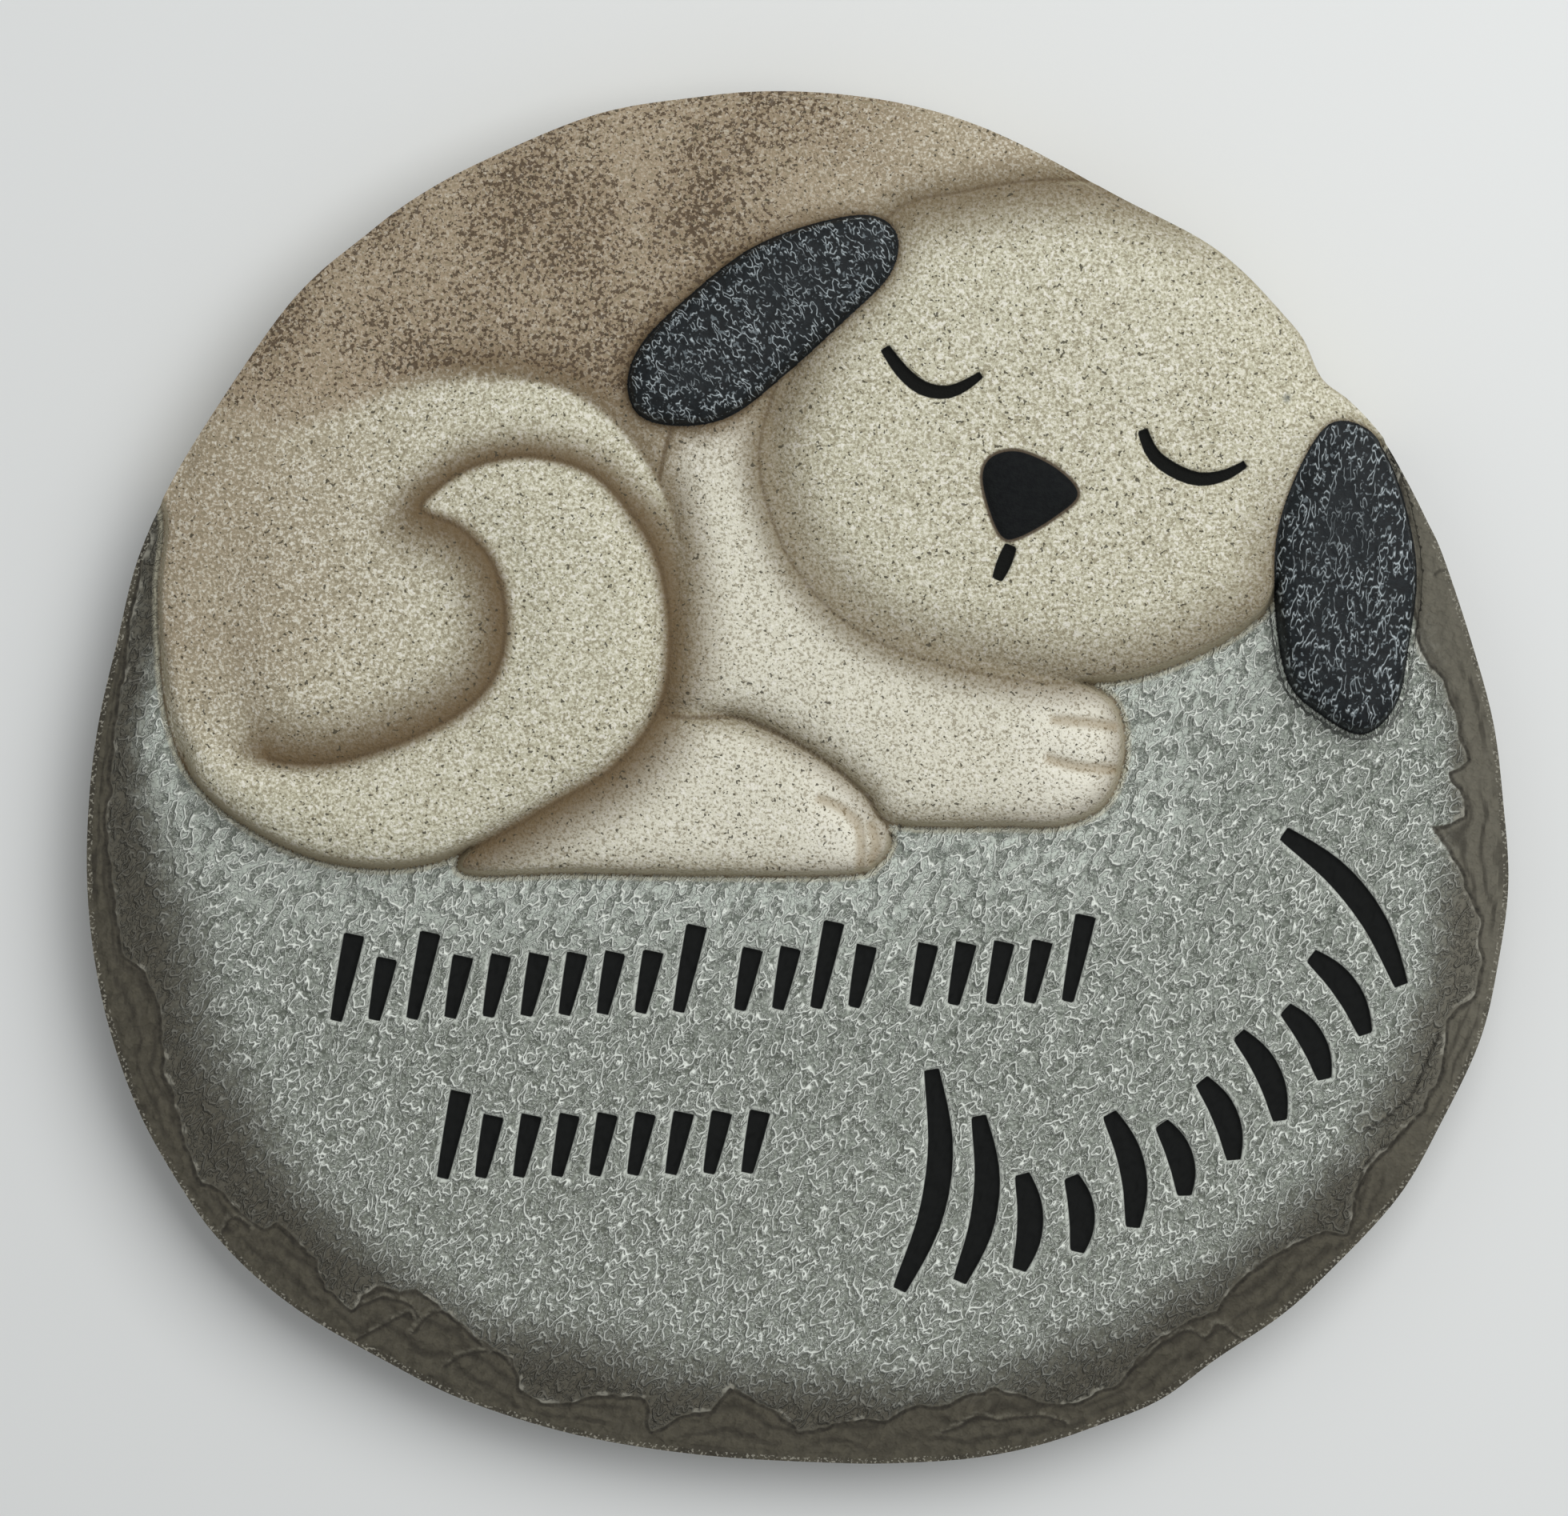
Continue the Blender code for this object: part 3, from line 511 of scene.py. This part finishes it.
def keepMeasures(stone):
    # Stores what the paint needs at each point, in millimetres or as shares from 0 to 1.
    mesh = stone.data
    plan = readPoints(mesh)[:, :2] / mm
    x, y = plan[:, 0], plan[:, 1]
    inside, covers = measure(plan)

    # Brown airbrush, deepened as painted shade in the creases and on the forms' shaded side.
    brownAndShade = np.zeros(len(plan))
    for name, (outer, inner, low, high, middle) in airbrushAndShade.items():
        d = inside[name] * (1 + 0.7 * blend(48, 60, y)) if name == "tail" else inside[name]
        mark = np.where(d < 0, blend(-outer, 0, d), blend(inner, 0, d)) * blend(0.8, -0.2, covers[name])
        if name == "haunch":
            mark *= blend(-88, -60, x)
        if name == "head":
            mark *= 1 - 0.75 * blend(62, 92, x) * blend(40, 70, y)
        brownAndShade = np.maximum(brownAndShade, mark * (high + (low - high) * blend(middle + 25, middle - 25, y)))
    # The back mask: the upper back's brown paint and, down the dog's left side, painted shade away from
    # the light.
    back = blend(52, 84, y - 0.05 * x) * blend(2, -3, inside["haunch"]) * blend(1, -5, inside["head"])
    back *= 1 - 0.3 * blend(-20, 40, x)
    back = np.maximum(back, 0.75 * blend(-50, -128, x) * blend(-10, 30, y) * (inside["dog"] > -1))
    legs = np.maximum(blend(0, 4, inside["foreleg"]) * blend(0, -4, covers["foreleg"]),
                      blend(0, 4, inside["hindLeg"]) * blend(0, -4, covers["hindLeg"]))
    brownAndShade *= 1 - blend(-104, -112, x) * blend(2, 10, y)
    foreToes = blend(22, 56, x) * blend(-2, 0, inside["foreleg"]) * blend(0, -1.5, covers["foreleg"])
    hindToes = blend(-18, 12, x) * blend(-2, 0, inside["hindLeg"]) * blend(0, -1.5, covers["hindLeg"])
    bandWidth = 18 - 6 * blend(-30, 20, y) + 12 * blend(-60, -125, x) * blend(10, -45, y)
    bandWidth += 6 * blend(-60, -115, y) + 4 * noiseField(plan, 30, 9.2)
    rim = blend(bandWidth, bandWidth * 0.35, inside["edge"] + 1.5 * noiseField(plan, 6, 2.2))
    litRim = np.maximum(rim, blend(0.2, -0.6, inside["ground"])) * blend(60, 125, x) * blend(-100, -30, y)
    share, rough, layer, layered = flakeSteps(plan, inside)
    # Painted shade on the drop of each step between the flaked layers.
    stepShade = blend(0.30, 0.45, layer % 1) * blend(0.75, 0.55, layer % 1)
    stepShade *= blend(-0.6, -1.2, inside["ground"]) * layered
    shade = 0.75 * blend(-10, -115, y) + 0.25 * blend(40, -120, x)

    # The cast veins and wrinkles follow these places: along each ear and over the slate on a
    # slant, then across.
    slant = math.radians(58)
    onEar = inside["ears"] > -1
    left = inside["leftEar"] > inside["rightEar"]
    along = np.where(left, 0.83 * x + 0.55 * y, 0.45 * (0.12 * x + 0.99 * y))
    across = np.where(left, 0.6 * (0.83 * y - 0.55 * x), 0.99 * x - 0.12 * y)
    along = np.where(onEar, along, 0.6 * (math.cos(slant) * x + math.sin(slant) * y))
    across = np.where(onEar, across, math.cos(slant) * y - math.sin(slant) * x)
    wanted = {
        "dog": inside["dog"], "ears": inside["ears"], "rows": inside["rows"], "face": inside["face"],
        "nose": inside["nose"], "edge": inside["edge"], "ground": inside["ground"],
        "crease": inside["crease"], "brownAndShade": brownAndShade, "back": back, "toes": inside["toes"],
        "paw": np.maximum(0.55 * legs, np.maximum(foreToes, hindToes)), "rim": rim, "shade": shade,
        "stepShade": stepShade, "litRim": litRim,
        "scarShade": inside["scarShade"], "scarLip": inside["scarLip"],
    }
    for name, values in wanted.items():
        mesh.attributes.new(name, "FLOAT", "POINT").data.foreach_set("value", values.astype(np.float32))
    mesh.attributes.new("castPlace", "FLOAT_VECTOR", "POINT").data.foreach_set(
        "vector", np.column_stack([along, across, 0 * x]).astype(np.float32).ravel())


def linearColour(code):
    parts = [int(code[i:i + 2], 16) / 255 for i in (1, 3, 5)]
    return (*[v / 12.92 if v <= 0.04045 else ((v + 0.055) / 1.055) ** 2.4 for v in parts], 1.0)


def addNode(tree, kind, inputs=None, out=0, **settings):
    node = tree.nodes.new(kind)
    for name, value in settings.items():
        setattr(node, name, value)
    for place, value in (inputs or {}).items():
        if isinstance(value, bpy.types.NodeSocket):
            tree.links.new(value, node.inputs[place])
        else:
            node.inputs[place].default_value = value
    return node.outputs[out] if node.outputs else node


# The cast wrinkles, in millimetres: how large their dents are, how wide the folds round them
# are and from 0 to 1 how much of the folds is missing. The painted tops are narrower than the
# relief, and the slate's network is only painted.
castWrinkles = {
    "slateRelief": (1.9, 0.60, 0.43), "earRelief": (1.3, 0.50, 0.45),
    "slateFolds": (1.9, 0.36, 0.43), "slateNetwork": (0.9, 0.20, 0.44), "earVeins": (1.3, 0.20, 0.48),
}


def castFolds(tree, place, size, width, missing):
    # Thin crooked folds round dents, of even width and broken up, from 0 to 1.
    step = 0.08 * size
    tones = []
    for shift in ((0, 0, 0), (step, 0, 0), (0, step, 0)):
        moved = addNode(tree, "ShaderNodeVectorMath", {0: place, 1: shift}, operation="ADD")
        lumps = {"Vector": moved, "Scale": 1 / size, "Detail": 1.0}
        tones.append(addNode(tree, "ShaderNodeTexNoise", lumps, noise_dimensions="2D"))
    slopes = [addNode(tree, "ShaderNodeMath", {0: tone, 1: tones[0]}, operation="SUBTRACT")
              for tone in tones[1:]]
    # The small third part keeps a fold from spreading where the noise is level.
    slope = addNode(tree, "ShaderNodeCombineXYZ", {0: slopes[0], 1: slopes[1], 2: 0.006})
    slope = addNode(tree, "ShaderNodeVectorMath", {0: slope}, "Value", operation="LENGTH")
    away = addNode(tree, "ShaderNodeMath", {0: tones[0], 1: 0.5}, operation="SUBTRACT")
    away = addNode(tree, "ShaderNodeMath", {0: away}, operation="ABSOLUTE")
    away = addNode(tree, "ShaderNodeMath", {0: away, 1: slope}, operation="DIVIDE")
    fold = addNode(tree, "ShaderNodeMapRange", {0: away, 1: width / step, 2: 0.0},
                   interpolation_type="SMOOTHSTEP")
    where = addNode(tree, "ShaderNodeTexNoise", {"Vector": place, "Scale": 0.7 / size, "Detail": 1.0},
                    noise_dimensions="3D")
    kept = addNode(tree, "ShaderNodeMapRange", {0: where, 1: missing - 0.03, 2: missing + 0.05},
                   interpolation_type="SMOOTHSTEP")
    return addNode(tree, "ShaderNodeMath", {0: fold, 1: kept}, operation="MULTIPLY")


# Heights of the fine relief and the size of the flakes' roughness, in millimetres.
reliefTexture = {"wrinkle": 0.34, "vein": 0.25, "flakeRoughness": 0.22, "flakeGrain": 3.125}


def embossStone(stone):
    # The cast wrinkles of the slate, the ears' veins and the rough flakes, as real relief.
    tree = bpy.data.node_groups.new("cast wrinkles", "GeometryNodeTree")
    tree.interface.new_socket("Geometry", in_out="INPUT", socket_type="NodeSocketGeometry")
    tree.interface.new_socket("Geometry", in_out="OUTPUT", socket_type="NodeSocketGeometry")
    shape = addNode(tree, "NodeGroupInput", out="Geometry")
    place = addNode(tree, "GeometryNodeInputPosition")
    kept = {name: addNode(tree, "GeometryNodeInputNamedAttribute", {"Name": name}, data_type=kind)
            for name, kind in (("dog", "FLOAT"), ("ears", "FLOAT"), ("rows", "FLOAT"), ("edge", "FLOAT"),
                               ("ground", "FLOAT"), ("castPlace", "FLOAT_VECTOR"))}
    steps = {  # 0 at the first value, 1 at the second
        "slate": ("dog", -0.6, -1.8), "plain": ("rows", -0.4, -1.2), "ear": ("ears", 0.3, 1.5),
        "whole": ("ground", -0.2, 1.0), "inner": ("edge", 0.3, 2.0), "flaked": ("ground", -0.3, -1.5),
        "offEar": ("ears", -0.5, -1.5),
    }
    masks = {name: addNode(tree, "ShaderNodeMapRange", {0: kept[source], 1: low, 2: high},
                           interpolation_type="SMOOTHSTEP")
             for name, (source, low, high) in steps.items()}
    rough = addNode(tree, "ShaderNodeTexNoise", {"Vector": place, "Detail": 2.0,
                    "Scale": 1 / (reliefTexture["flakeGrain"] * mm)})
    parts = [
        (castFolds(tree, kept["castPlace"], *castWrinkles["slateRelief"]),
         ("slate", "plain", "whole", "offEar"), reliefTexture["wrinkle"]),
        (castFolds(tree, kept["castPlace"], *castWrinkles["earRelief"]), ("ear",), reliefTexture["vein"]),
        (rough, ("slate", "flaked", "inner", "offEar"), reliefTexture["flakeRoughness"]),
    ]
    total = None
    for height, names, size in parts:
        for name in names:
            height = addNode(tree, "ShaderNodeMath", {0: height, 1: masks[name]}, operation="MULTIPLY")
        height = addNode(tree, "ShaderNodeMath", {0: height, 1: size * mm}, operation="MULTIPLY")
        total = height if total is None else addNode(tree, "ShaderNodeMath", {0: total, 1: height})
    up = addNode(tree, "GeometryNodeInputNormal")
    upward = addNode(tree, "ShaderNodeSeparateXYZ", {0: up}, out="Z")
    onTop = addNode(tree, "ShaderNodeMapRange", {0: upward, 1: 0.2, 2: 0.6})
    total = addNode(tree, "ShaderNodeMath", {0: total, 1: onTop}, operation="MULTIPLY")
    lift = addNode(tree, "ShaderNodeCombineXYZ", {2: total})
    shape = addNode(tree, "GeometryNodeSetPosition", {"Geometry": shape, "Offset": lift})
    addNode(tree, "NodeGroupOutput", {0: shape})
    emboss = stone.modifiers.new("cast wrinkles", "NODES")
    emboss.node_group = tree
    bpy.context.view_layer.objects.active = stone
    bpy.ops.object.modifier_apply(modifier=emboss.name)


# Grain size in mm, detail and roughness of each plain noise. The sand's own grains, about
# 0.3 mm, are drawn at 0.6 so that they show.
noises = {
    "grain": (0.60, 1.0, 0.6), "grit": (1.5, 2.0, 0.7), "blotch": (28, 2.0, 0.55),
    "speck": (0.95, 1.0, 0.6), "fleck": (0.85, 2.0, 0.65), "pebble": (2.2, 2.0, 0.7),
    "chip": (4.5, 2.0, 0.7), "streak": (1.9, 2.0, 0.65),
}
# Each mask is 0 at the first value of its source and 1 at the second. Distances kept on the mesh
# are in millimetres, and depth and dots are in metres.
maskSteps = {
    "earPaint": ("ears", -0.15, 0.15), "ink": ("rows", -0.12, 0.12), "faceInk": ("face", -0.12, 0.14),
    # A brown ring round the nose: painted shade.
    "noseInk": ("nose", 0.0, 0.3), "noseShadeLine": ("nose", -0.6, -0.1), "rowRim": ("rows", -1.0, -0.45),
    # A dark painted shadow line at the dog's foot, on both sides of its outline.
    "halo": ("dog", -1.4, -0.6), "footShadowLine": ("dog", -0.45, -0.15), "footShadowRim": ("dog", 0.4, 0.1),
    # The crease line: dark paint deepened as painted shade.
    "nearDog": ("dog", -25, -1), "line": ("crease", 0.75, 0.1), "flaked": ("ground", 0.15, -0.5),
    # A pale painted highlight along the broken line.
    "crack": ("ground", -0.35, 0.0), "lip": ("ground", 0.8, 0.35), "verge": ("edge", 0.9, 0.2),
    # Painted shade in a band just outside the broken line, where the rim drops.
    "whole": ("ground", -0.2, 0.8), "plain": ("rows", 0.0, -0.5), "seamIn": ("ground", -0.05, -0.3),
    "seamOut": ("ground", -1.2, -0.6), "earMiddle": ("ears", 5.0, 10.0),
    "wall": ("facing", 0.72, 0.42), "bare": ("depth", 0.004, 0.002),
    "hollows": ("grain", 0.46, 0.38), "peaks": ("grain", 0.54, 0.63),
    "gritty": ("grit", 0.36, 0.64), "blotches": ("blotch", 0.38, 0.62), "chips": ("chip", 0.52, 0.62),
    "streaks": ("streak", 0.38, 0.64),
    "paleSpecks": ("speck", 0.60, 0.68), "darkSpecks": ("speck", 0.335, 0.30),
    "palePebbles": ("pebble", 0.64, 0.68), "airHoles": ("pebble", 0.26, 0.22), "front": ("back", 1.5, 0.0),
    # Painted shade in the slate's dents.
    # Tan paint deepened as painted shade in and round the toe grooves.
    "toeTanAndShade": ("toes", -1.2, 0.3), "veined": ("ears", 0.2, 0.9), "dented": ("dents", 0.53, 0.40),
    "flecks": ("crowd", 0.52, 0.57), "greyDots": ("dots", 0.0024, 0.0018),
}
greyDabs = [(94.1, 82.6), (96.3, 74.7)]


def paintedFinish(name, coats, inks, relief, gloss):
    # Layers of paint over a base, each where its mask is: "a*b" is where both are.
    material = bpy.data.materials.new(name)
    material.use_nodes = True
    tree = material.node_tree
    shader = tree.nodes["Principled BSDF"]
    place = addNode(tree, "ShaderNodeTexCoord", out="Object")
    found = {}

    def source(key):
        if key in found:
            return found[key]
        if key in noises:
            size, detail, roughness = noises[key]
            made = addNode(tree, "ShaderNodeTexNoise", {"Vector": place, "Scale": 1 / (size * mm),
                           "Detail": detail, "Roughness": roughness})
        elif key == "facing":
            normal = addNode(tree, "ShaderNodeNewGeometry", out="Normal")
            made = addNode(tree, "ShaderNodeSeparateXYZ", {0: normal}, out="Z")
        elif key == "depth":
            made = addNode(tree, "ShaderNodeSeparateXYZ", {0: place}, out="Z")
        elif key == "dents":  # the hollows that the slate's folds run round
            slanted = addNode(tree, "ShaderNodeAttribute", attribute_name="castPlace", out="Vector")
            lumps = {"Vector": slanted, "Scale": 1 / castWrinkles["slateFolds"][0], "Detail": 1.0}
            made = addNode(tree, "ShaderNodeTexNoise", lumps, noise_dimensions="2D")
        elif key == "wrinkle":  # a fine network with longer folds among it
            slanted = addNode(tree, "ShaderNodeAttribute", attribute_name="castPlace", out="Vector")
            fine = castFolds(tree, slanted, *castWrinkles["slateNetwork"])
            fine = addNode(tree, "ShaderNodeMath", {0: fine, 1: 0.55}, operation="MULTIPLY")
            folds = castFolds(tree, slanted, *castWrinkles["slateFolds"])
            made = addNode(tree, "ShaderNodeMath", {0: fine, 1: folds}, operation="MAXIMUM")
        elif key == "veins":
            along = addNode(tree, "ShaderNodeAttribute", attribute_name="castPlace", out="Vector")
            made = castFolds(tree, along, *castWrinkles["earVeins"])
        elif key == "dots":  # two grey dabs of paint on the head
            away = [addNode(tree, "ShaderNodeVectorMath", {0: place, 1: (x * mm, y * mm, 0.0245)}, "Value",
                            operation="DISTANCE") for x, y in greyDabs]
            made = addNode(tree, "ShaderNodeMath", {0: away[0], 1: away[1]}, operation="MINIMUM")
        elif key == "crowd":  # the flecks gather in patches, where the back's shade is near 1
            patches = addNode(tree, "ShaderNodeMath", {0: source("blotch"), 1: 0.7, 2: 0.65},
                              operation="MULTIPLY_ADD")
            made = addNode(tree, "ShaderNodeMath", {0: source("fleck"), 1: source("back")},
                           operation="MULTIPLY")
            made = addNode(tree, "ShaderNodeMath", {0: made, 1: patches}, operation="MULTIPLY")
        else:
            made = addNode(tree, "ShaderNodeAttribute", attribute_name=key, out="Fac")
        found[key] = made
        return made

    def mask(key):
        if key in found:
            return found[key]
        if "*" in key:
            first, second = key.rsplit("*", 1)
            made = addNode(tree, "ShaderNodeMath", {0: mask(first), 1: mask(second)}, operation="MULTIPLY")
        elif key in maskSteps:
            value, low, high = maskSteps[key]
            made = addNode(tree, "ShaderNodeMapRange", {0: source(value), 1: low, 2: high},
                           interpolation_type="SMOOTHSTEP")
        else:
            return source(key)
        found[key] = made
        return made

    colour = linearColour(coats[0])
    for key, code, cover in coats[1:] + inks:
        share = mask(key)
        if cover < 1:
            share = addNode(tree, "ShaderNodeMath", {0: share, 1: cover}, operation="MULTIPLY")
        colour = addNode(tree, "ShaderNodeMix", {0: share, 6: colour, 7: linearColour(code)}, 2,
                         data_type="RGBA")
    tree.links.new(colour, shader.inputs["Base Color"])

    height = 0.0
    for key, size in relief:  # millimetres, under the paint
        height = addNode(tree, "ShaderNodeMath", {0: mask(key), 1: size, 2: height},
                         operation="MULTIPLY_ADD")
    bump = addNode(tree, "ShaderNodeBump", {"Height": height, "Distance": mm})
    tree.links.new(bump, shader.inputs["Normal"])
    shader.inputs["Specular IOR Level"].default_value = 0.25
    shader.inputs["Roughness"].default_value = gloss
    return material


# The brown ring round the nose is painted shade.
blackPaint = [("ink", "#0E100F", 1), ("noseShadeLine", "#54483A", 0.9), ("faceInk", "#10110F", 1),
              # The nose's paler brush streaks also stand for a painted sheen.
              ("noseInk", "#0F1113", 1), ("noseInk*gritty", "#1E2221", 0.3), ("earPaint", "#14181B", 1)]
# Sand-coloured concrete, stippled and airbrushed: matt, with pale and dark grains that break it up.
sandstone = paintedFinish("painted sandstone", [
    # The back coat: the upper back's brown paint, and painted shade down the dog's left side.
    "#BFBBA2", ("blotches", "#C8C5AD", 0.6), ("gritty", "#D8D5BE", 0.55), ("back", "#A4927A", 0.92),
    ("back*blotches", "#8B7860", 0.5), ("paw", "#F2EFE0", 0.85), ("hollows", "#8E846C", 0.62),
    ("peaks*front", "#EDEAD9", 0.75), ("palePebbles*front", "#E6E3D2", 0.6),
    # The brown coat: airbrushed paint, deepened as painted shade in the creases and on the shaded side.
    ("paleSpecks*front", "#F2EFE2", 0.8), ("brownAndShade", "#69563B", 0.95), ("darkSpecks", "#454033", 0.85),
    # The dark crease line is paint deepened as painted shade.
    # The tan in and round the toe grooves is paint deepened as painted shade.
    ("flecks", "#4A3B2C", 0.8), ("toeTanAndShade", "#9C8B6D", 0.6), ("line", "#5F4F39", 0.7),
    # A painted shadow line at the foot of the relief.
    ("greyDots", "#7F8179", 0.9), ("footShadowRim", "#6A604C", 0.4), ("wall", "#B0A78C", 0.5),
    ("bare", "#8F8C85", 0.9),
], blackPaint, [("grain", 0.26), ("grit", 0.18)], 0.93)
# Slate-coloured concrete with cast wrinkles, their tops dry-brushed pale and brightened further as a
# painted highlight: chalky, never shiny.
slate = paintedFinish("painted slate", [
    # Painted shade in the dents between the wrinkles.
    "#868C83", ("blotches", "#99A197", 0.45), ("nearDog", "#DFE8DE", 0.85), ("dented", "#4E544B", 0.8),
    ("shade", "#73756B", 0.72), ("gritty", "#A6ACA2", 0.4), ("hollows", "#5A6057", 0.5),
    # The wrinkles' pale tops: dry-brushed paint and painted highlight.
    ("peaks", "#C2C9BE", 0.55), ("wrinkle", "#EDF2E9", 1), ("rowRim", "#D2D7CE", 0.85),
    ("rim", "#4E4A40", 0.92), ("rim*gritty", "#625E52", 0.4), ("flaked", "#4E4A3F", 0.85),
    # Painted shade in the flaked rim's dents.
    ("flaked*streaks", "#5F5B4D", 0.35), ("flaked*dented", "#3F3C33", 0.35), ("litRim", "#8A877A", 0.34),
    # Painted shade on the flakes' steps and just outside the broken line.
    ("stepShade", "#302D27", 0.6), ("seamIn*seamOut", "#2B2823", 0.5),
    # Painted shade below each scar's edge, and a pale painted highlight above it.
    ("seamIn*seamOut*gritty", "#23211D", 0.6), ("scarShade", "#2B2823", 0.7),
    ("scarLip*gritty", "#8B887A", 0.4),
    # A pale painted highlight along the broken line, broken up.
    ("lip*crack*chips", "#B0AEA1", 0.45), ("verge*peaks", "#A09D90", 0.7), ("halo", "#D3CFB8", 0.6),
    # A painted shadow line at the dog's foot, on the slate.
    ("footShadowLine", "#6A604C", 0.5), ("wall", "#46423A", 0.8), ("bare", "#8F8C85", 0.9),
], blackPaint, [("wrinkle*whole*plain", 0.60), ("dents", 0.7), ("streaks*flaked", 0.14)], 0.86)
# Black paint over the ears' cast veins, the veins rubbed with pale blue-grey: a dull sheen.
earBlack = paintedFinish("rubbed black paint", [
    "#121618", ("gritty", "#1D2326", 0.7), ("paleSpecks*veined", "#7E888C", 0.6),
    ("veins*veined", "#B4BEC1", 1), ("earMiddle*blotches", "#1B2023", 0.7),
], [], [("veins", 0.35), ("grit", 0.15)], 0.62)
# Bare cast concrete on the underside, as it came from the mould, with small air holes.
concrete = paintedFinish("bare cast concrete", [
    "#8F8C85", ("blotches", "#9B988F", 0.6), ("hollows", "#77746D", 0.6), ("airHoles", "#4E4C47", 0.8),
], [], [("grain", 0.15), ("airHoles", -0.5)], 0.95)


def dressStone(stone):
    # Gives each face its finish by where it lies.
    mesh = stone.data
    for finish in (slate, sandstone, earBlack, concrete):
        mesh.materials.append(finish)
    count = len(mesh.polygons)
    starts = np.zeros(count, int)
    mesh.polygons.foreach_get("loop_start", starts)
    corners = np.zeros(len(mesh.loops), int)
    mesh.loops.foreach_get("vertex_index", corners)
    normals = np.zeros(count * 3)
    mesh.polygons.foreach_get("normal", normals)
    sizes = np.diff(np.append(starts, len(corners)))
    means = {}
    for name in ("dog", "ears"):
        values = np.zeros(len(mesh.vertices))
        mesh.attributes[name].data.foreach_get("value", values)
        means[name] = np.add.reduceat(values[corners], starts) / sizes
    finishes = np.where(means["dog"] > 0, 1, 0)
    finishes[means["ears"] > 0.15] = 2
    finishes[normals[2::3] < -0.5] = 3
    mesh.polygons.foreach_set("material_index", finishes)


print("laying out the stone's top")
stone = makeStone()
print("carving the dog, the strokes and the flaked rim")
carveStone(stone)
print("closing the walls and the underside")
closeBelow(stone)
print("keeping the measures for the paint")
keepMeasures(stone)
print("raising the cast wrinkles")
embossStone(stone)
print("painting", sum(len(p.vertices) - 2 for p in stone.data.polygons), "triangles")
dressStone(stone)
bpy.context.view_layer.objects.active = stone
stone.select_set(True)
bpy.ops.object.shade_smooth_by_angle(angle=math.radians(50))

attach(stone, "root")
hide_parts("memorial_stone")

# A floor of matt white paper, even and pale, soft light from the upper right, and a camera that
# looks straight down.
bpy.ops.mesh.primitive_plane_add(size=6, location=(0, 0, 0))
floor = bpy.context.object
floor.name = "floor"
paper = bpy.data.materials.new("white paper")
paper.use_nodes = True
paper.node_tree.nodes["Principled BSDF"].inputs["Base Color"].default_value = linearColour("#E9EBEA")
paper.node_tree.nodes["Principled BSDF"].inputs["Roughness"].default_value = 0.9
floor.data.materials.append(paper)

scene = bpy.context.scene
scene.view_settings.view_transform = "Standard"
world = bpy.data.worlds.new("soft room")
scene.world = world
world.use_nodes = True
world.node_tree.nodes["Background"].inputs["Color"].default_value = (0.98, 0.99, 1.0, 1)
world.node_tree.nodes["Background"].inputs["Strength"].default_value = 0.40

bpy.ops.object.light_add(type="AREA", location=(0.45, 0.40, 0.96))
window = bpy.context.object
window.name = "window"
window.data.shape = "RECTANGLE"
window.data.size = 1.2
window.data.size_y = 1.0
window.data.energy = 9.2
window.rotation_euler = (Vector((0, 0, 0)) - window.location).to_track_quat("-Z", "Y").to_euler()

# In millimetres: the camera's height, the height at which the picture is that wide, its centre.
view = {"height": 1600, "aimHeight": 18, "width": 308.3, "centre": (-2.7, 3.85)}
bpy.ops.object.camera_add(location=(*[v * mm for v in view["centre"]], view["height"] * mm))
camera = bpy.context.object
camera.data.sensor_fit = "HORIZONTAL"
camera.data.sensor_width = 36
camera.data.lens = camera.data.sensor_width * (view["height"] - view["aimHeight"]) / view["width"]
camera.data.clip_end = 20
scene.camera = camera
